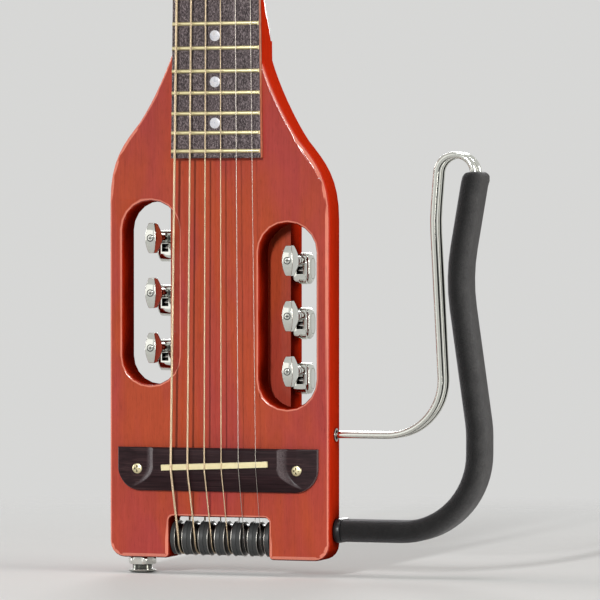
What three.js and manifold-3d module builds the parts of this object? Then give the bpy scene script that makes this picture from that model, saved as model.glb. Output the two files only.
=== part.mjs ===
// Headless travel guitar, in millimetres.
// X runs to the viewer's right, Y from the front of the guitar to its back, Z from tail to head.
// Inside the guitar group Z is counted from the saddle end of the scale length and Y from the
// front face of the body; the group is then moved so that the origin lies on the flat back of
// the spine, on the centre line, where the guitar is held.

import * as THREE from 'three';
import { mergeVertices } from 'three/addons/utils/BufferGeometryUtils.js';
import Module from 'manifold-3d';

const wasm = await Module();
wasm.setup();

// Gap that pieces in contact keep, and how far every cutting tool runs past the face it cuts
const contactGap = 0.3;
const overrun = 3;

// Scale and strings, bass side on the left
const scaleLength = 628.65;
const fretCount = 22;
const stringCount = 6;
const bassGauge = 1.35;
const gaugeShares = [1, 0.79, 0.6, 0.45, 0.3, 0.22];
const spreadAtNut = 34.9;
const spreadAtSaddle = 51.3;
const camberRadius = 400;
const stringLift = 0.5;
const ballRadius = 2;
const ballLength = 4;

// Body plate: one board with its neck, cut out for the tuners and for the string rollers
const bodyWidth = 134;
const plateThickness = 21;
const tailLength = 58;
const edgeRound = 2.3;
const tailCorner = 9;
const leftShoulderTop = 240;
const rightShoulderTop = 229;
const shoulderRise = 92;
const shoulderShares = [
  [1, 0], [1, 0.26], [0.8, 0.36], [0.554, 0.492], [0.34, 0.625], [0.09, 0.86], [0, 1],
];
const slotInset = 24.5;
const slotWidth = 34.2;
const slotLength = 106.2;
const leftSlotCentre = 95;
const tunerStagger = 13;
const slotCorner = 16.6;
const cutoutWidth = 60.5;
const cutoutLength = 24;
const reliefDepth = 4.5;

// Neck
const nutWidth = 42.86;
const widthGrowthShare = 0.02524;
const neckDepth = 15.6;
const neckSide = 1.2;
const headLength = 24.35;
const headRound = 1.6;
const heelLength = 45;
const heelRoot = 14;

// Spine behind the plate, with the string channel in its back
const spineWidth = 73.6;
const spineDepth = 22.2;
const spineRound = 2;
const channelWidth = 57.6;
const channelTop = 128;
const channelCorner = 6;
const spineTop = 197;
const spineShoulder = 172;
const spineTopShare = 0.72;
const spineTail = 34;
const spineHeel = 10;
const holdHeight = 138;

// Fingerboard, frets and nut
const boardThickness = 5.8;
const boardOverhang = 4;
const fretHeight = 1.05;
const fretWidth = 2.3;
const fretCrown = 1.1;
const nutThickness = 4;
const nutShoulder = 0.5;

// String anchor on the head, with its two screws
const anchorSetback = 9;
const anchorThickness = 6.5;
const anchorHeight = 6;
const anchorWidth = 40;
const anchorScrewRadius = 2.6;
const anchorScrewShank = 1.2;
const anchorScrewLength = 10;
const anchorFlange = 1.6;

// Truss rod under the fingerboard
const trussWidth = 6;
const trussDepth = 8.4;
const trussStart = 205;
const trussEnd = 638;
const trussNutRadius = 3.6;
const trussNutLength = 6;

// Bridge, saddle and pickup strip
const bridgeWidth = 121.5;
const bridgeTop = 6;
const bridgeBottom = 19;
const bridgeCorner = 14;
const bridgeTopCorner = 1.5;
const bridgeHeight = 6.5;
const bridgeTailHeight = 4;
const bridgeFrontHeight = 5;
const bridgeBreak = 10;
const bridgeCentreWidth = 75.4;
const rampLength = 6;
const wingHeight = 3.6;
const wingTipHeight = 2.4;
const saddleLength = 64.4;
const saddleThickness = 3.3;
const saddleTop = 9.3;
const saddleSetback = 4.1;
const saddleSlant = 2.44 * Math.PI / 180;
const saddleSlotDepth = 4.4;
const pickupThickness = 0.8;
const pickupInset = 0.3;
const bridgeScrewInset = 48.4;
const bridgeScrewDrop = 6.4;
const bridgeScrewHead = 3;
const bridgeScrewShank = 1.5;
const bridgeScrewLength = 13;
const countersink = 1.9;

// Rollers that turn the strings round the tail
const rollerPitch = 10;
const rollerRadius = 9.75;
const rollerDepth = 10.8;
const rollerDrop = 46.7;
const grooveRadius = 8.2;
const grooveWidth = 4.3;
const rimRound = 0.7;
const axleRadius = 3;
const axleRunning = 0.05;
const axleSeat = 8;

// Tuners: worm gears in closed housings on the spine's side walls
const tunerInset = 41.7;
const firstTuner = 126.6;
const tunerPitch = 31.75;
const tunersPerSide = 3;
const knobWidth = 6.4;
const knobHeight = 17.4;
const knobTipWidth = 2.8;
const knobDepth = 11.6;
const knobEndDepth = 9;
const knobRecess = 0.2;
const knobScrewRadius = 1.95;
const knobScrewDepth = 0.6;
const shaftRadius = 1.6;
const shaftRunning = 0.3;
const wormRadius = 2.1;
const wormLength = 8;
const housingFront = 24;
const housingDepth = 14;
const housingTop = 4.6;
const housingCorner = 2.4;
const housingThickness = 7.3;
const coverThickness = 1;
const coverInset = 0.8;
const coverRound = 0.4;
const collarRadius = 2.9;
const collarLength = 10;
const postOffset = 6.6;
const postRadius = 3;
const postReach = 14;
const wheelRadius = 4.3;
const wheelThickness = 4.6;
const wheelTeeth = 14;
const toothDepth = 0.9;
const gearPlay = 0.3;
const windTurns = 1.5;

// Output jack in the tail
const jackInset = 50.5;
const jackBarrelRadius = 5.85;
const jackBarrelLength = 36;
const jackNutWidth = 14.7;
const jackNutThickness = 4;
const jackWaistLength = 3.2;
const jackFlangeRadius = 8;
const jackFlangeThickness = 1.4;
const jackBoreRadius = 3.25;
const jackBoreLength = 34;

// Lap rest: a hairpin of round rod in a foam sleeve
const rodRadius = 1.9;
const rodFrontDepth = 12.25;
const rodHoleRadius = 2.7;
const rodInsertion = 26;
const rodHeight = 13.9;
const bushRadius = 3.8;
const bushLength = 24;
const bushRim = 0.5;
const restReach = 84;
const restTop = 173.6;
const restDrop = 41;
const kneeRadius = 32;
const backRadius = 120;
const hookRadius = 10.6;
const waistRadius = 110;
const bellyRadius = 60;
const cornerRadius = 45;
const kneeReachShare = 0.767;
const backReachShare = 0.69;
const hookReachShare = 0.724;
const hookEndReachShare = 0.998;
const waistReachShare = 0.856;
const bellyReachShare = 1.002;
const backHeightShare = 0.829;
const waistHeightShare = 0.676;
const bellyHeightShare = 0.275;
const sleeveThickness = 12.5;
const sleeveDepth = 23.2;
const sleeveStartShare = 0.14;
const footThickness = 4;
const footHeight = 13.8;
const footDepth = 24.5;
const footRound = 0.8;

// Strap button on the heel
const buttonHeight = 154;
const buttonRadius = 7;
const buttonNeckRadius = 3.6;
const buttonLength = 11;
const buttonScrewRadius = 3;
const buttonScrewShank = 1.6;
const buttonScrewLength = 16;

// Finishes
const finishes = {
  redMaple: { color: 0xb04838, roughness: 0.42, metalness: 0 },
  rosewood: { color: 0x32232a, roughness: 0.5, metalness: 0 },
  ivory: { color: 0xebe1af, roughness: 0.35, metalness: 0 },
  chrome: { color: 0xd8dce0, roughness: 0.08, metalness: 1 },
  steel: { color: 0xa8a8a4, roughness: 0.3, metalness: 1 },
  brass: { color: 0xc9a95c, roughness: 0.3, metalness: 1 },
  bronze: { color: 0xb08d57, roughness: 0.35, metalness: 1 },
  blackPlastic: { color: 0x1a1a1c, roughness: 0.45, metalness: 0 },
  foam: { color: 0x2c2c2e, roughness: 0.95, metalness: 0 },
  rubber: { color: 0x121212, roughness: 0.4, metalness: 0 },
};

// Measures worked out from the ones above
const halfWidth = bodyWidth / 2;
const cutoutCorner = edgeRound + contactGap;
const spineCorner = spineRound + contactGap;
const backFace = plateThickness + contactGap + spineDepth;
const spineFront = plateThickness + contactGap;
const boardEnd = scaleLength * 2 ** (-fretCount / 12) - boardOverhang;
const headEnd = scaleLength + headLength;
const halfSpine = spineWidth / 2;
const postDepth = housingFront + housingDepth / 2;
const rodPitch = spineFront + rodRadius - rodFrontDepth;
const rodRearDepth = rodFrontDepth + rodPitch;
const slotCentre = slotInset + slotWidth / 2;
const rightSlotCentre = leftSlotCentre - tunerStagger;
const fitRadius = (radius) => radius + contactGap;
const gaugeOf = (index) => bassGauge * gaugeShares[index];
const across = (index) => index / (stringCount - 1) - 0.5;
const camber = (x) => x * x / (2 * camberRadius);
const neckHalfWidth = (z) => (nutWidth + (scaleLength - z) * widthGrowthShare) / 2;

// Turns a closed geometry into a solid, and a solid back into a geometry
function solidOf(geometry) {
  const bare = geometry.clone();
  bare.deleteAttribute('normal');
  bare.deleteAttribute('uv');
  const merged = mergeVertices(bare, contactGap / 1000);
  return new wasm.Manifold(new wasm.Mesh({
    numProp: 3,
    vertProperties: new Float32Array(merged.attributes.position.array),
    triVerts: new Uint32Array(merged.index.array),
  }));
}

function geometryOf(solid) {
  const mesh = solid.getMesh();
  const geometry = new THREE.BufferGeometry();
  geometry.setAttribute('position', new THREE.BufferAttribute(mesh.vertProperties, 3));
  geometry.setIndex(new THREE.BufferAttribute(mesh.triVerts, 1));
  const faceted = geometry.toNonIndexed();
  faceted.computeVertexNormals();
  return faceted;
}

function joined(first, ...others) {
  return geometryOf(others.reduce((solid, other) => solid.add(solidOf(other)), solidOf(first)));
}

function cutBy(first, ...tools) {
  return geometryOf(tools.reduce((solid, tool) => solid.subtract(solidOf(tool)), solidOf(first)));
}

function common(first, second) {
  return geometryOf(solidOf(first).intersect(solidOf(second)));
}

// Rounds the corners of a polyline: each corner is [point, radius], each turn an arc
function rounded(corners, closed, turnStep = Math.PI / 12) {
  const points = [];
  corners.forEach(([at, radius], index) => {
    const isEnd = !closed && (index === 0 || index === corners.length - 1);
    if (isEnd || !radius) {
      points.push(at.clone());
      return;
    }
    const before = corners[(index + corners.length - 1) % corners.length][0];
    const after = corners[(index + 1) % corners.length][0];
    const inward = before.clone().sub(at).normalize();
    const outward = after.clone().sub(at).normalize();
    const turn = Math.PI - inward.angleTo(outward);
    const reach = radius * Math.tan(turn / 2);
    const toCentre = inward.clone().add(outward).normalize();
    const centre = at.clone().addScaledVector(toCentre, radius / Math.cos(turn / 2));
    const start = at.clone().addScaledVector(inward, reach).sub(centre);
    const end = at.clone().addScaledVector(outward, reach).sub(centre);
    const steps = Math.max(2, Math.ceil(turn / turnStep - 1e-6));
    for (let step = 0; step <= steps; step += 1) {
      const part = step / steps;
      const arm = start.clone().multiplyScalar(Math.sin((1 - part) * turn) / Math.sin(turn));
      arm.addScaledVector(end, Math.sin(part * turn) / Math.sin(turn));
      points.push(arm.add(centre));
    }
  });
  return points;
}

const flat = (x, y) => new THREE.Vector3(x, y, 0);

function shapeOf(corners, turnStep) {
  return new THREE.Shape(rounded(corners, true, turnStep).map((point) => new THREE.Vector2(point.x, point.y)));
}

function boxShape(left, bottom, right, top, corner = 0, turnStep = Math.PI / 10) {
  return shapeOf([
    [flat(left, bottom), corner], [flat(right, bottom), corner],
    [flat(right, top), corner], [flat(left, top), corner],
  ], turnStep);
}

// A slab of a shape from height 0 up to its thickness, with its edges rounded on demand
function slab(shape, thickness, round = 0, roundSteps = 2) {
  return new THREE.ExtrudeGeometry(shape, {
    depth: thickness - 2 * round,
    curveSegments: 5,
    steps: 1,
    bevelEnabled: round > 0,
    bevelThickness: round,
    bevelSize: round,
    bevelOffset: -round,
    bevelSegments: roundSteps,
  }).translate(0, 0, round);
}

// Drawn in X and Z, from one depth to another
function alongDepth(shape, front, back, round, roundSteps) {
  return slab(shape, back - front, round, roundSteps).rotateX(Math.PI / 2).translate(0, back, 0);
}

// Drawn in Y and Z, from one X to another
function alongWidth(shape, left, right, round, roundSteps) {
  const turn = new THREE.Matrix4().makeBasis(
    new THREE.Vector3(0, 1, 0), new THREE.Vector3(0, 0, 1), new THREE.Vector3(1, 0, 0),
  );
  return slab(shape, right - left, round, roundSteps).applyMatrix4(turn).translate(left, 0, 0);
}

// Drawn in X and Y, from one height to another
function alongHeight(shape, low, high, round, roundSteps) {
  return slab(shape, high - low, round, roundSteps).translate(0, 0, low);
}

// Round bars between two places on an axis, and turned pieces from a profile of [radius, place]
function turned(profile, sides = 20) {
  return new THREE.LatheGeometry(profile.map(([radius, place]) => new THREE.Vector2(radius, place)), sides);
}

function rodProfile(radius, start, end) {
  return [[0, start], [radius, start], [radius, end], [0, end]];
}

const ontoX = (geometry) => geometry.rotateZ(-Math.PI / 2);
const ontoZ = (geometry) => geometry.rotateX(Math.PI / 2);

// A route whose steps are exactly the given points, for extruding a section along them
class Route extends THREE.Curve {
  constructor(points) {
    super();
    this.points = points;
  }

  getPoint(t, target = new THREE.Vector3()) {
    const place = t * (this.points.length - 1);
    const index = Math.min(Math.floor(place + 1e-9), this.points.length - 2);
    return target.lerpVectors(this.points[index], this.points[index + 1], place - index);
  }

  getPointAt(u, target) {
    return this.getPoint(u, target);
  }

  getTangentAt(u, target = new THREE.Vector3()) {
    const last = this.points.length - 1;
    const index = Math.round(u * last);
    const before = this.points[Math.max(index - 1, 0)];
    const after = this.points[Math.min(index + 1, last)];
    return target.subVectors(after, before).normalize();
  }
}

function alongRoute(shape, points) {
  return new THREE.ExtrudeGeometry(shape, {
    steps: points.length - 1,
    curveSegments: 8,
    bevelEnabled: false,
    extrudePath: new Route(points),
  });
}

function discShape(radius, sides) {
  const points = [];
  for (let side = 0; side < sides; side += 1) {
    const angle = 2 * Math.PI * side / sides;
    points.push(new THREE.Vector2(radius * Math.cos(angle), radius * Math.sin(angle)));
  }
  return new THREE.Shape(points);
}

// Joins rings of equally many points, given from low Z to high Z and clockwise seen from above
function loft(rings) {
  const count = rings[0].length;
  const positions = rings.flat().flatMap((point) => [point.x, point.y, point.z]);
  const indices = [];
  for (let ring = 0; ring + 1 < rings.length; ring += 1) {
    for (let side = 0; side < count; side += 1) {
      const a = ring * count + side;
      const b = ring * count + (side + 1) % count;
      indices.push(a, a + count, b, b, a + count, b + count);
    }
  }
  const outline = rings[0].map((point) => new THREE.Vector2(point.x, point.y));
  const top = (rings.length - 1) * count;
  const cap = rings[0].map((_, index) => index);
  const clockwise = THREE.ShapeUtils.isClockWise(outline);
  const faces = THREE.ShapeUtils.triangulateShape(clockwise ? outline.reverse() : outline, []);
  const order = clockwise ? cap.reverse() : cap;
  faces.forEach(([a, b, c]) => {
    indices.push(order[a], order[c], order[b]);
    indices.push(top + order[a], top + order[b], top + order[c]);
  });
  const geometry = new THREE.BufferGeometry();
  geometry.setAttribute('position', new THREE.Float32BufferAttribute(positions, 3));
  geometry.setIndex(indices);
  return geometry;
}

const guitar = new THREE.Group();
const materials = {};
Object.entries(finishes).forEach(([finish, values]) => {
  materials[finish] = new THREE.MeshStandardMaterial(values);
});

function addPiece(name, geometry, finish, parent = guitar) {
  const mesh = new THREE.Mesh(geometry, materials[finish]);
  mesh.name = name;
  parent.add(mesh);
  return mesh;
}

// Body and neck
function shoulder(side, top) {
  const base = top - shoulderRise;
  const root = neckHalfWidth(top);
  const at = ([out, up]) => new THREE.Vector2(side * (root + (halfWidth - root) * out), base + shoulderRise * up);
  const [a, b, c, d, e, f, g] = shoulderShares.map(at);
  const lower = new THREE.CubicBezierCurve(a, b, c, d).getPoints(8);
  const upper = new THREE.CubicBezierCurve(d, e, f, g).getPoints(8);
  return [...lower, ...upper.slice(1)];
}

function bodyOutline() {
  const tail = -tailLength;
  const notch = cutoutWidth / 2;
  const foot = rounded([
    [flat(-halfWidth, 0), 0],
    [flat(-halfWidth, tail), tailCorner],
    [flat(-notch, tail), cutoutCorner],
    [flat(-notch, tail + cutoutLength), cutoutCorner],
    [flat(notch, tail + cutoutLength), cutoutCorner],
    [flat(notch, tail), cutoutCorner],
    [flat(halfWidth, tail), tailCorner],
    [flat(halfWidth, 0), 0],
  ], false, Math.PI / 10);
  const right = shoulder(1, rightShoulderTop);
  const left = shoulder(-1, leftShoulderTop).reverse();
  const neckCorner = new THREE.Vector2(neckHalfWidth(leftShoulderTop), leftShoulderTop);
  const points = foot.slice(1, -1).map((point) => new THREE.Vector2(point.x, point.y));
  const outline = new THREE.Shape([...points, ...right, neckCorner, ...left]);
  outline.holes.push(slotShape(-1, leftSlotCentre), slotShape(1, rightSlotCentre));
  return outline;
}

function slotShape(side, centre) {
  const half = slotLength / 2;
  const inner = side * slotInset;
  const outer = side * (slotInset + slotWidth);
  return boxShape(Math.min(inner, outer), centre - half, Math.max(inner, outer), centre + half, slotCorner);
}

function neckRing(z, inset, side, depth, squareness) {
  const half = neckHalfWidth(z) - inset;
  const top = inset / 2;
  const points = [new THREE.Vector3(half, top, z), new THREE.Vector3(-half, top, z)];
  const steps = 10;
  for (let step = 0; step <= steps; step += 1) {
    const angle = Math.PI * (step / steps - 0.5);
    const wide = Math.sign(angle) * Math.abs(Math.sin(angle)) ** squareness;
    const deep = Math.abs(Math.cos(angle)) ** squareness;
    points.push(new THREE.Vector3(half * wide, side + (depth - inset - side) * deep, z));
  }
  return points;
}

function neckBlank() {
  const top = leftShoulderTop;
  const deepest = plateThickness - edgeRound / 2;
  const deepSide = plateThickness - 2 * edgeRound;
  const rings = [
    neckRing(top - heelRoot, 0, deepSide, deepest, 0.5),
    neckRing(top, 0, deepSide, deepest, 0.5),
    neckRing(top + heelLength * 0.15, 0, deepSide * 0.82, neckDepth + (deepest - neckDepth) * 0.8, 0.6),
    neckRing(top + heelLength * 0.35, 0, deepSide * 0.45, neckDepth + (deepest - neckDepth) * 0.42, 0.75),
    neckRing(top + heelLength * 0.6, 0, neckSide * 2, neckDepth + (deepest - neckDepth) * 0.12, 0.85),
    neckRing(top + heelLength, 0, neckSide, neckDepth, 0.9),
    neckRing(scaleLength, 0, neckSide, neckDepth, 0.9),
    neckRing(headEnd - headRound, 0, neckSide, neckDepth, 0.9),
    neckRing(headEnd, headRound, neckSide + headRound, neckDepth, 0.9),
  ];
  return loft(rings);
}

function bodyPiece() {
  const plate = alongDepth(bodyOutline(), 0, plateThickness, edgeRound, 2);
  const notch = -tailLength + cutoutLength;
  const relief = alongDepth(
    boxShape(-channelWidth / 2, notch - overrun, channelWidth / 2, channelTop, channelCorner),
    plateThickness - reliefDepth, plateThickness + overrun,
  );
  const axleHole = ontoX(turned(rodProfile(fitRadius(axleRadius), -axleHalf() - contactGap, axleHalf() + contactGap)))
    .translate(0, rollerDepth, -rollerDrop);
  const jackHole = ontoZ(turned(rodProfile(fitRadius(jackBarrelRadius), -overrun, jackBarrelLength + contactGap)))
    .translate(-jackInset, rollerDepth, -tailLength);
  const restHole = ontoX(turned(rodProfile(fitRadius(bushRadius) - bushRim, -rodInsertion, overrun)))
    .translate(halfWidth, rodFrontDepth, rodHeight);
  const trussChannel = alongHeight(
    boxShape(-trussWidth / 2 - contactGap, -overrun, trussWidth / 2 + contactGap, trussDepth + 2 * contactGap),
    trussStart - contactGap, trussEnd + trussNutLength + 2 * contactGap,
  );
  const trussPocket = ontoZ(turned(rodProfile(fitRadius(trussNutRadius), 0, trussNutLength + 2 * contactGap)))
    .translate(0, trussDepth / 2 + contactGap, trussEnd);
  const holes = bridgeScrewPlaces().map(([x, z]) => turned(rodProfile(fitRadius(bridgeScrewShank),
    -overrun, bridgeScrewLength), 12).translate(x, 0, z));
  const anchorHoles = anchorScrewPlaces().map(([x, z]) => turned(rodProfile(fitRadius(anchorScrewShank),
    -overrun, anchorScrewLength), 12).translate(x, 0, z));
  return cutBy(joined(plate, neckBlank()), relief, axleHole, jackHole, restHole, trussChannel, trussPocket,
    ...holes, ...anchorHoles);
}

// Spine with its channel, its tapering ends and the holes of what it carries
function spinePiece() {
  const half = halfSpine;
  const channel = channelWidth / 2;
  const outline = shapeOf([
    [flat(-half, -spineTail), spineCorner],
    [flat(-channel, -spineTail), 0],
    [flat(-channel, channelTop), channelCorner],
    [flat(channel, channelTop), channelCorner],
    [flat(channel, -spineTail), 0],
    [flat(half, -spineTail), spineCorner],
    [flat(half, spineShoulder), spineWidth / 4],
    [flat(half * spineTopShare, spineTop), spineCorner],
    [flat(-half * spineTopShare, spineTop), spineCorner],
    [flat(-half, spineShoulder), spineWidth / 4],
  ]);
  const block = alongDepth(outline, spineFront - 2 * spineRound, backFace, spineRound, 2);
  const side = new THREE.Shape();
  side.moveTo(spineFront, -spineTail - overrun);
  side.lineTo(spineFront + spineRound, -spineTail - overrun);
  side.lineTo(spineFront + spineRound, -spineTail);
  side.bezierCurveTo(spineFront + spineDepth * 0.6, -spineTail, backFace, -spineTail + spineHeel,
    backFace, spineHeel - spineTail + spineDepth * 0.6);
  side.lineTo(backFace, spineShoulder - spineDepth * 0.4);
  side.bezierCurveTo(backFace, spineShoulder + spineDepth * 0.3, spineFront + spineRound * 2,
    spineShoulder + spineDepth * 0.5, spineFront + spineRound / 2, spineTop);
  side.lineTo(spineFront + spineRound / 2, spineTop + overrun);
  side.lineTo(spineFront, spineTop + overrun);
  const profile = alongWidth(side, -half - overrun, half + overrun);
  const postHoles = tunerPlaces().map(({ side: hand, z }) => {
    const ends = [hand * (channel - overrun), hand * (half + overrun)].sort((a, b) => a - b);
    return ontoX(turned(rodProfile(fitRadius(postRadius), ...ends), 12)).translate(0, postDepth, z - postOffset);
  });
  const restHole = ontoX(turned(rodProfile(fitRadius(rodRadius), rodRearEnd() - contactGap, half + overrun), 14))
    .translate(0, rodRearDepth, rodHeight);
  const buttonHole = turned(rodProfile(fitRadius(buttonScrewShank), backFace - buttonScrewLength, backFace + overrun), 12)
    .translate(0, 0, buttonHeight);
  return cutBy(common(block, profile), ...postHoles, restHole, buttonHole);
}

// Fingerboard with its frets pressed in
function boardRing(z, lift) {
  const half = neckHalfWidth(z);
  const points = [new THREE.Vector3(half, -contactGap, z), new THREE.Vector3(-half, -contactGap, z)];
  const steps = 4;
  for (let step = 0; step <= steps; step += 1) {
    const x = half * (2 * step / steps - 1);
    points.push(new THREE.Vector3(x, -(boardThickness + lift) + camber(x), z));
  }
  return points.reverse();
}

function boardPiece() {
  const rings = [boardRing(boardEnd, 0)];
  for (let fret = fretCount; fret >= 1; fret -= 1) {
    const z = scaleLength * 2 ** (-fret / 12);
    rings.push(boardRing(z - fretWidth / 2, 0), boardRing(z - fretCrown / 2, fretHeight));
    rings.push(boardRing(z + fretCrown / 2, fretHeight), boardRing(z + fretWidth / 2, 0));
  }
  rings.push(boardRing(scaleLength - contactGap, 0));
  return loft(rings);
}

// Height of a string's centre above the body face at the nut, and at the saddle
const heightAtNut = (index) => boardThickness + fretHeight + stringLift + gaugeOf(index) / 2
  - camber(across(index) * spreadAtNut);
const heightAtSaddle = (index) => saddleTop + contactGap + gaugeOf(index) / 2
  - camber(across(index) * spreadAtSaddle);

function nutPiece() {
  const half = nutWidth / 2;
  const top = (x) => -(boardThickness + fretHeight + stringLift + nutShoulder) + camber(x);
  const points = [new THREE.Vector2(half, -contactGap), new THREE.Vector2(-half, -contactGap)];
  points.push(new THREE.Vector2(-half, top(half)));
  for (let index = 0; index < stringCount; index += 1) {
    const x = across(index) * spreadAtNut;
    const gap = gaugeOf(index) / 2 + contactGap;
    const floor = -heightAtNut(index) + gap;
    points.push(new THREE.Vector2(x - gap, top(x)), new THREE.Vector2(x - gap, floor));
    points.push(new THREE.Vector2(x + gap, floor), new THREE.Vector2(x + gap, top(x)));
  }
  points.push(new THREE.Vector2(half, top(half)));
  return alongHeight(new THREE.Shape(points.reverse()), scaleLength, scaleLength + nutThickness);
}

// String anchor on the head: a comb whose slots hold the strings in front of their ball ends
const anchorStart = scaleLength + anchorSetback;
const anchorEnd = anchorStart + anchorThickness;

function anchorScrewPlaces() {
  return [-1, 1].map((side) => [side * (spreadAtNut / 2 * 0.4), anchorStart + anchorThickness / 2]);
}

function anchorPiece() {
  const half = anchorWidth / 2;
  const block = alongDepth(boxShape(-half, anchorStart, half, anchorEnd, anchorFlange, Math.PI / 4),
    -anchorHeight - contactGap, -contactGap, anchorFlange / 3, 1);
  const slots = [];
  for (let index = 0; index < stringCount; index += 1) {
    const gap = gaugeOf(index) / 2 + contactGap;
    const x = across(index) * spreadAtNut;
    slots.push(alongDepth(boxShape(x - gap, anchorStart - overrun, x + gap, anchorEnd + overrun),
      -anchorHeight - overrun, -anchorHeight / 2 + gap));
  }
  const holes = anchorScrewPlaces().map(([x, z]) => turned(screwProfile(
    anchorScrewRadius, anchorScrewShank, anchorScrewLength, anchorScrewRadius - anchorScrewShank, contactGap,
  ), 12).translate(x, -anchorHeight - contactGap, z));
  return cutBy(block, ...slots, ...holes);
}

// A countersunk screw, head first, with room round it when it serves as the tool of its own hole
function screwProfile(headRadius, shankRadius, length, cone, room = 0) {
  const lead = room ? overrun : 0;
  return [
    [0, -lead], [headRadius + room, -lead], [headRadius + room, room / 2],
    [shankRadius + room, cone + room], [shankRadius + room, length + lead], [0, length + lead],
  ];
}

// Truss rod
function trussPiece() {
  const bar = alongHeight(boxShape(-trussWidth / 2, contactGap, trussWidth / 2, trussDepth + contactGap, trussWidth / 6),
    trussStart, trussEnd);
  const key = ontoZ(turned(rodProfile(trussNutRadius, -overrun, trussNutLength), 6))
    .translate(0, trussDepth / 2 + contactGap, trussEnd);
  return joined(bar, key);
}

// Bridge, saddle, pickup strip and bridge screws
function bridgeScrewPlaces() {
  return [-1, 1].map((side) => [side * bridgeScrewInset, -bridgeScrewDrop]);
}

function saddleBar(length, thickness, low, high) {
  return alongHeight(boxShape(-length / 2, -high, length / 2, -low), -thickness / 2, thickness / 2);
}

function ontoSaddleLine(geometry) {
  return geometry.rotateY(-saddleSlant).translate(0, 0, -saddleSetback);
}

function bridgePiece() {
  const half = bridgeWidth / 2;
  const centre = bridgeCentreWidth / 2;
  const plan = alongDepth(shapeOf([
    [flat(-half, -bridgeBottom), bridgeCorner], [flat(half, -bridgeBottom), bridgeCorner],
    [flat(half, bridgeTop), bridgeTopCorner], [flat(-half, bridgeTop), bridgeTopCorner],
  ]), -bridgeHeight - overrun, overrun);
  const front = new THREE.Shape();
  front.moveTo(half + overrun, -contactGap);
  front.lineTo(-half - overrun, -contactGap);
  front.lineTo(-half - overrun, -wingTipHeight);
  front.lineTo(-half, -wingTipHeight);
  front.lineTo(-bridgeScrewInset, -wingHeight);
  front.lineTo(-centre - rampLength, -wingHeight);
  front.quadraticCurveTo(-centre, -wingHeight, -centre, -bridgeHeight);
  front.lineTo(centre, -bridgeHeight);
  front.quadraticCurveTo(centre, -wingHeight, centre + rampLength, -wingHeight);
  front.lineTo(bridgeScrewInset, -wingHeight);
  front.lineTo(half, -wingTipHeight);
  front.lineTo(half + overrun, -wingTipHeight);
  const side = new THREE.Shape();
  side.moveTo(-contactGap, bridgeTop);
  side.lineTo(-bridgeFrontHeight, bridgeTop);
  side.lineTo(-bridgeHeight, bridgeTop - bridgeTopCorner);
  side.lineTo(-bridgeHeight, -bridgeBreak);
  side.lineTo(-bridgeTailHeight, -bridgeBottom);
  side.lineTo(-contactGap, -bridgeBottom);
  const crown = common(plan, alongHeight(front, -bridgeBottom - overrun, bridgeTop + overrun));
  const block = common(crown, alongWidth(side, -half - overrun, half + overrun));
  const slot = ontoSaddleLine(saddleBar(saddleLength + 2 * contactGap, saddleThickness + 2 * contactGap,
    bridgeHeight - saddleSlotDepth, bridgeHeight + overrun));
  const holes = bridgeScrewPlaces().map(([x, z]) => turned(screwProfile(
    bridgeScrewHead, bridgeScrewShank, bridgeScrewLength, countersink, contactGap,
  )).translate(x, -wingHeight, z));
  return cutBy(block, slot, ...holes);
}

const pickupLow = bridgeHeight - saddleSlotDepth + contactGap;
const saddleLow = pickupLow + pickupThickness + contactGap;

function saddlePiece() {
  const half = saddleLength / 2;
  const points = [new THREE.Vector2(half, -saddleLow), new THREE.Vector2(-half, -saddleLow)];
  const steps = 8;
  for (let step = 0; step <= steps; step += 1) {
    const x = half * (2 * step / steps - 1);
    points.push(new THREE.Vector2(x, -saddleTop + camber(x)));
  }
  const bar = alongHeight(new THREE.Shape(points.reverse()), -saddleThickness / 2, saddleThickness / 2);
  return ontoSaddleLine(bar);
}

function pickupPiece() {
  return ontoSaddleLine(saddleBar(saddleLength - 2 * pickupInset, saddleThickness - 2 * pickupInset,
    pickupLow, pickupLow + pickupThickness));
}

// Rollers and their axle
function axleHalf() {
  return cutoutWidth / 2 + axleSeat;
}

function rollerPiece() {
  const half = (rollerPitch - contactGap) / 2;
  const groove = grooveWidth / 2;
  const sides = 14;
  const bore = (axleRadius + axleRunning) / Math.cos(Math.PI / sides);
  return ontoX(turned([
    [bore, -half], [rollerRadius - rimRound, -half], [rollerRadius, -half + rimRound],
    [rollerRadius, -groove], [grooveRadius, -groove / 2], [grooveRadius, groove / 2],
    [rollerRadius, groove], [rollerRadius, half - rimRound], [rollerRadius - rimRound, half],
    [bore, half], [bore, -half],
  ], sides));
}

// Tuners
function tunerPlaces() {
  const places = [];
  [-1, 1].forEach((side) => {
    const first = side < 0 ? firstTuner : firstTuner - tunerStagger;
    for (let index = 0; index < tunersPerSide; index += 1) {
      places.push({ side, index, z: first - index * tunerPitch });
    }
  });
  return places;
}

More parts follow.
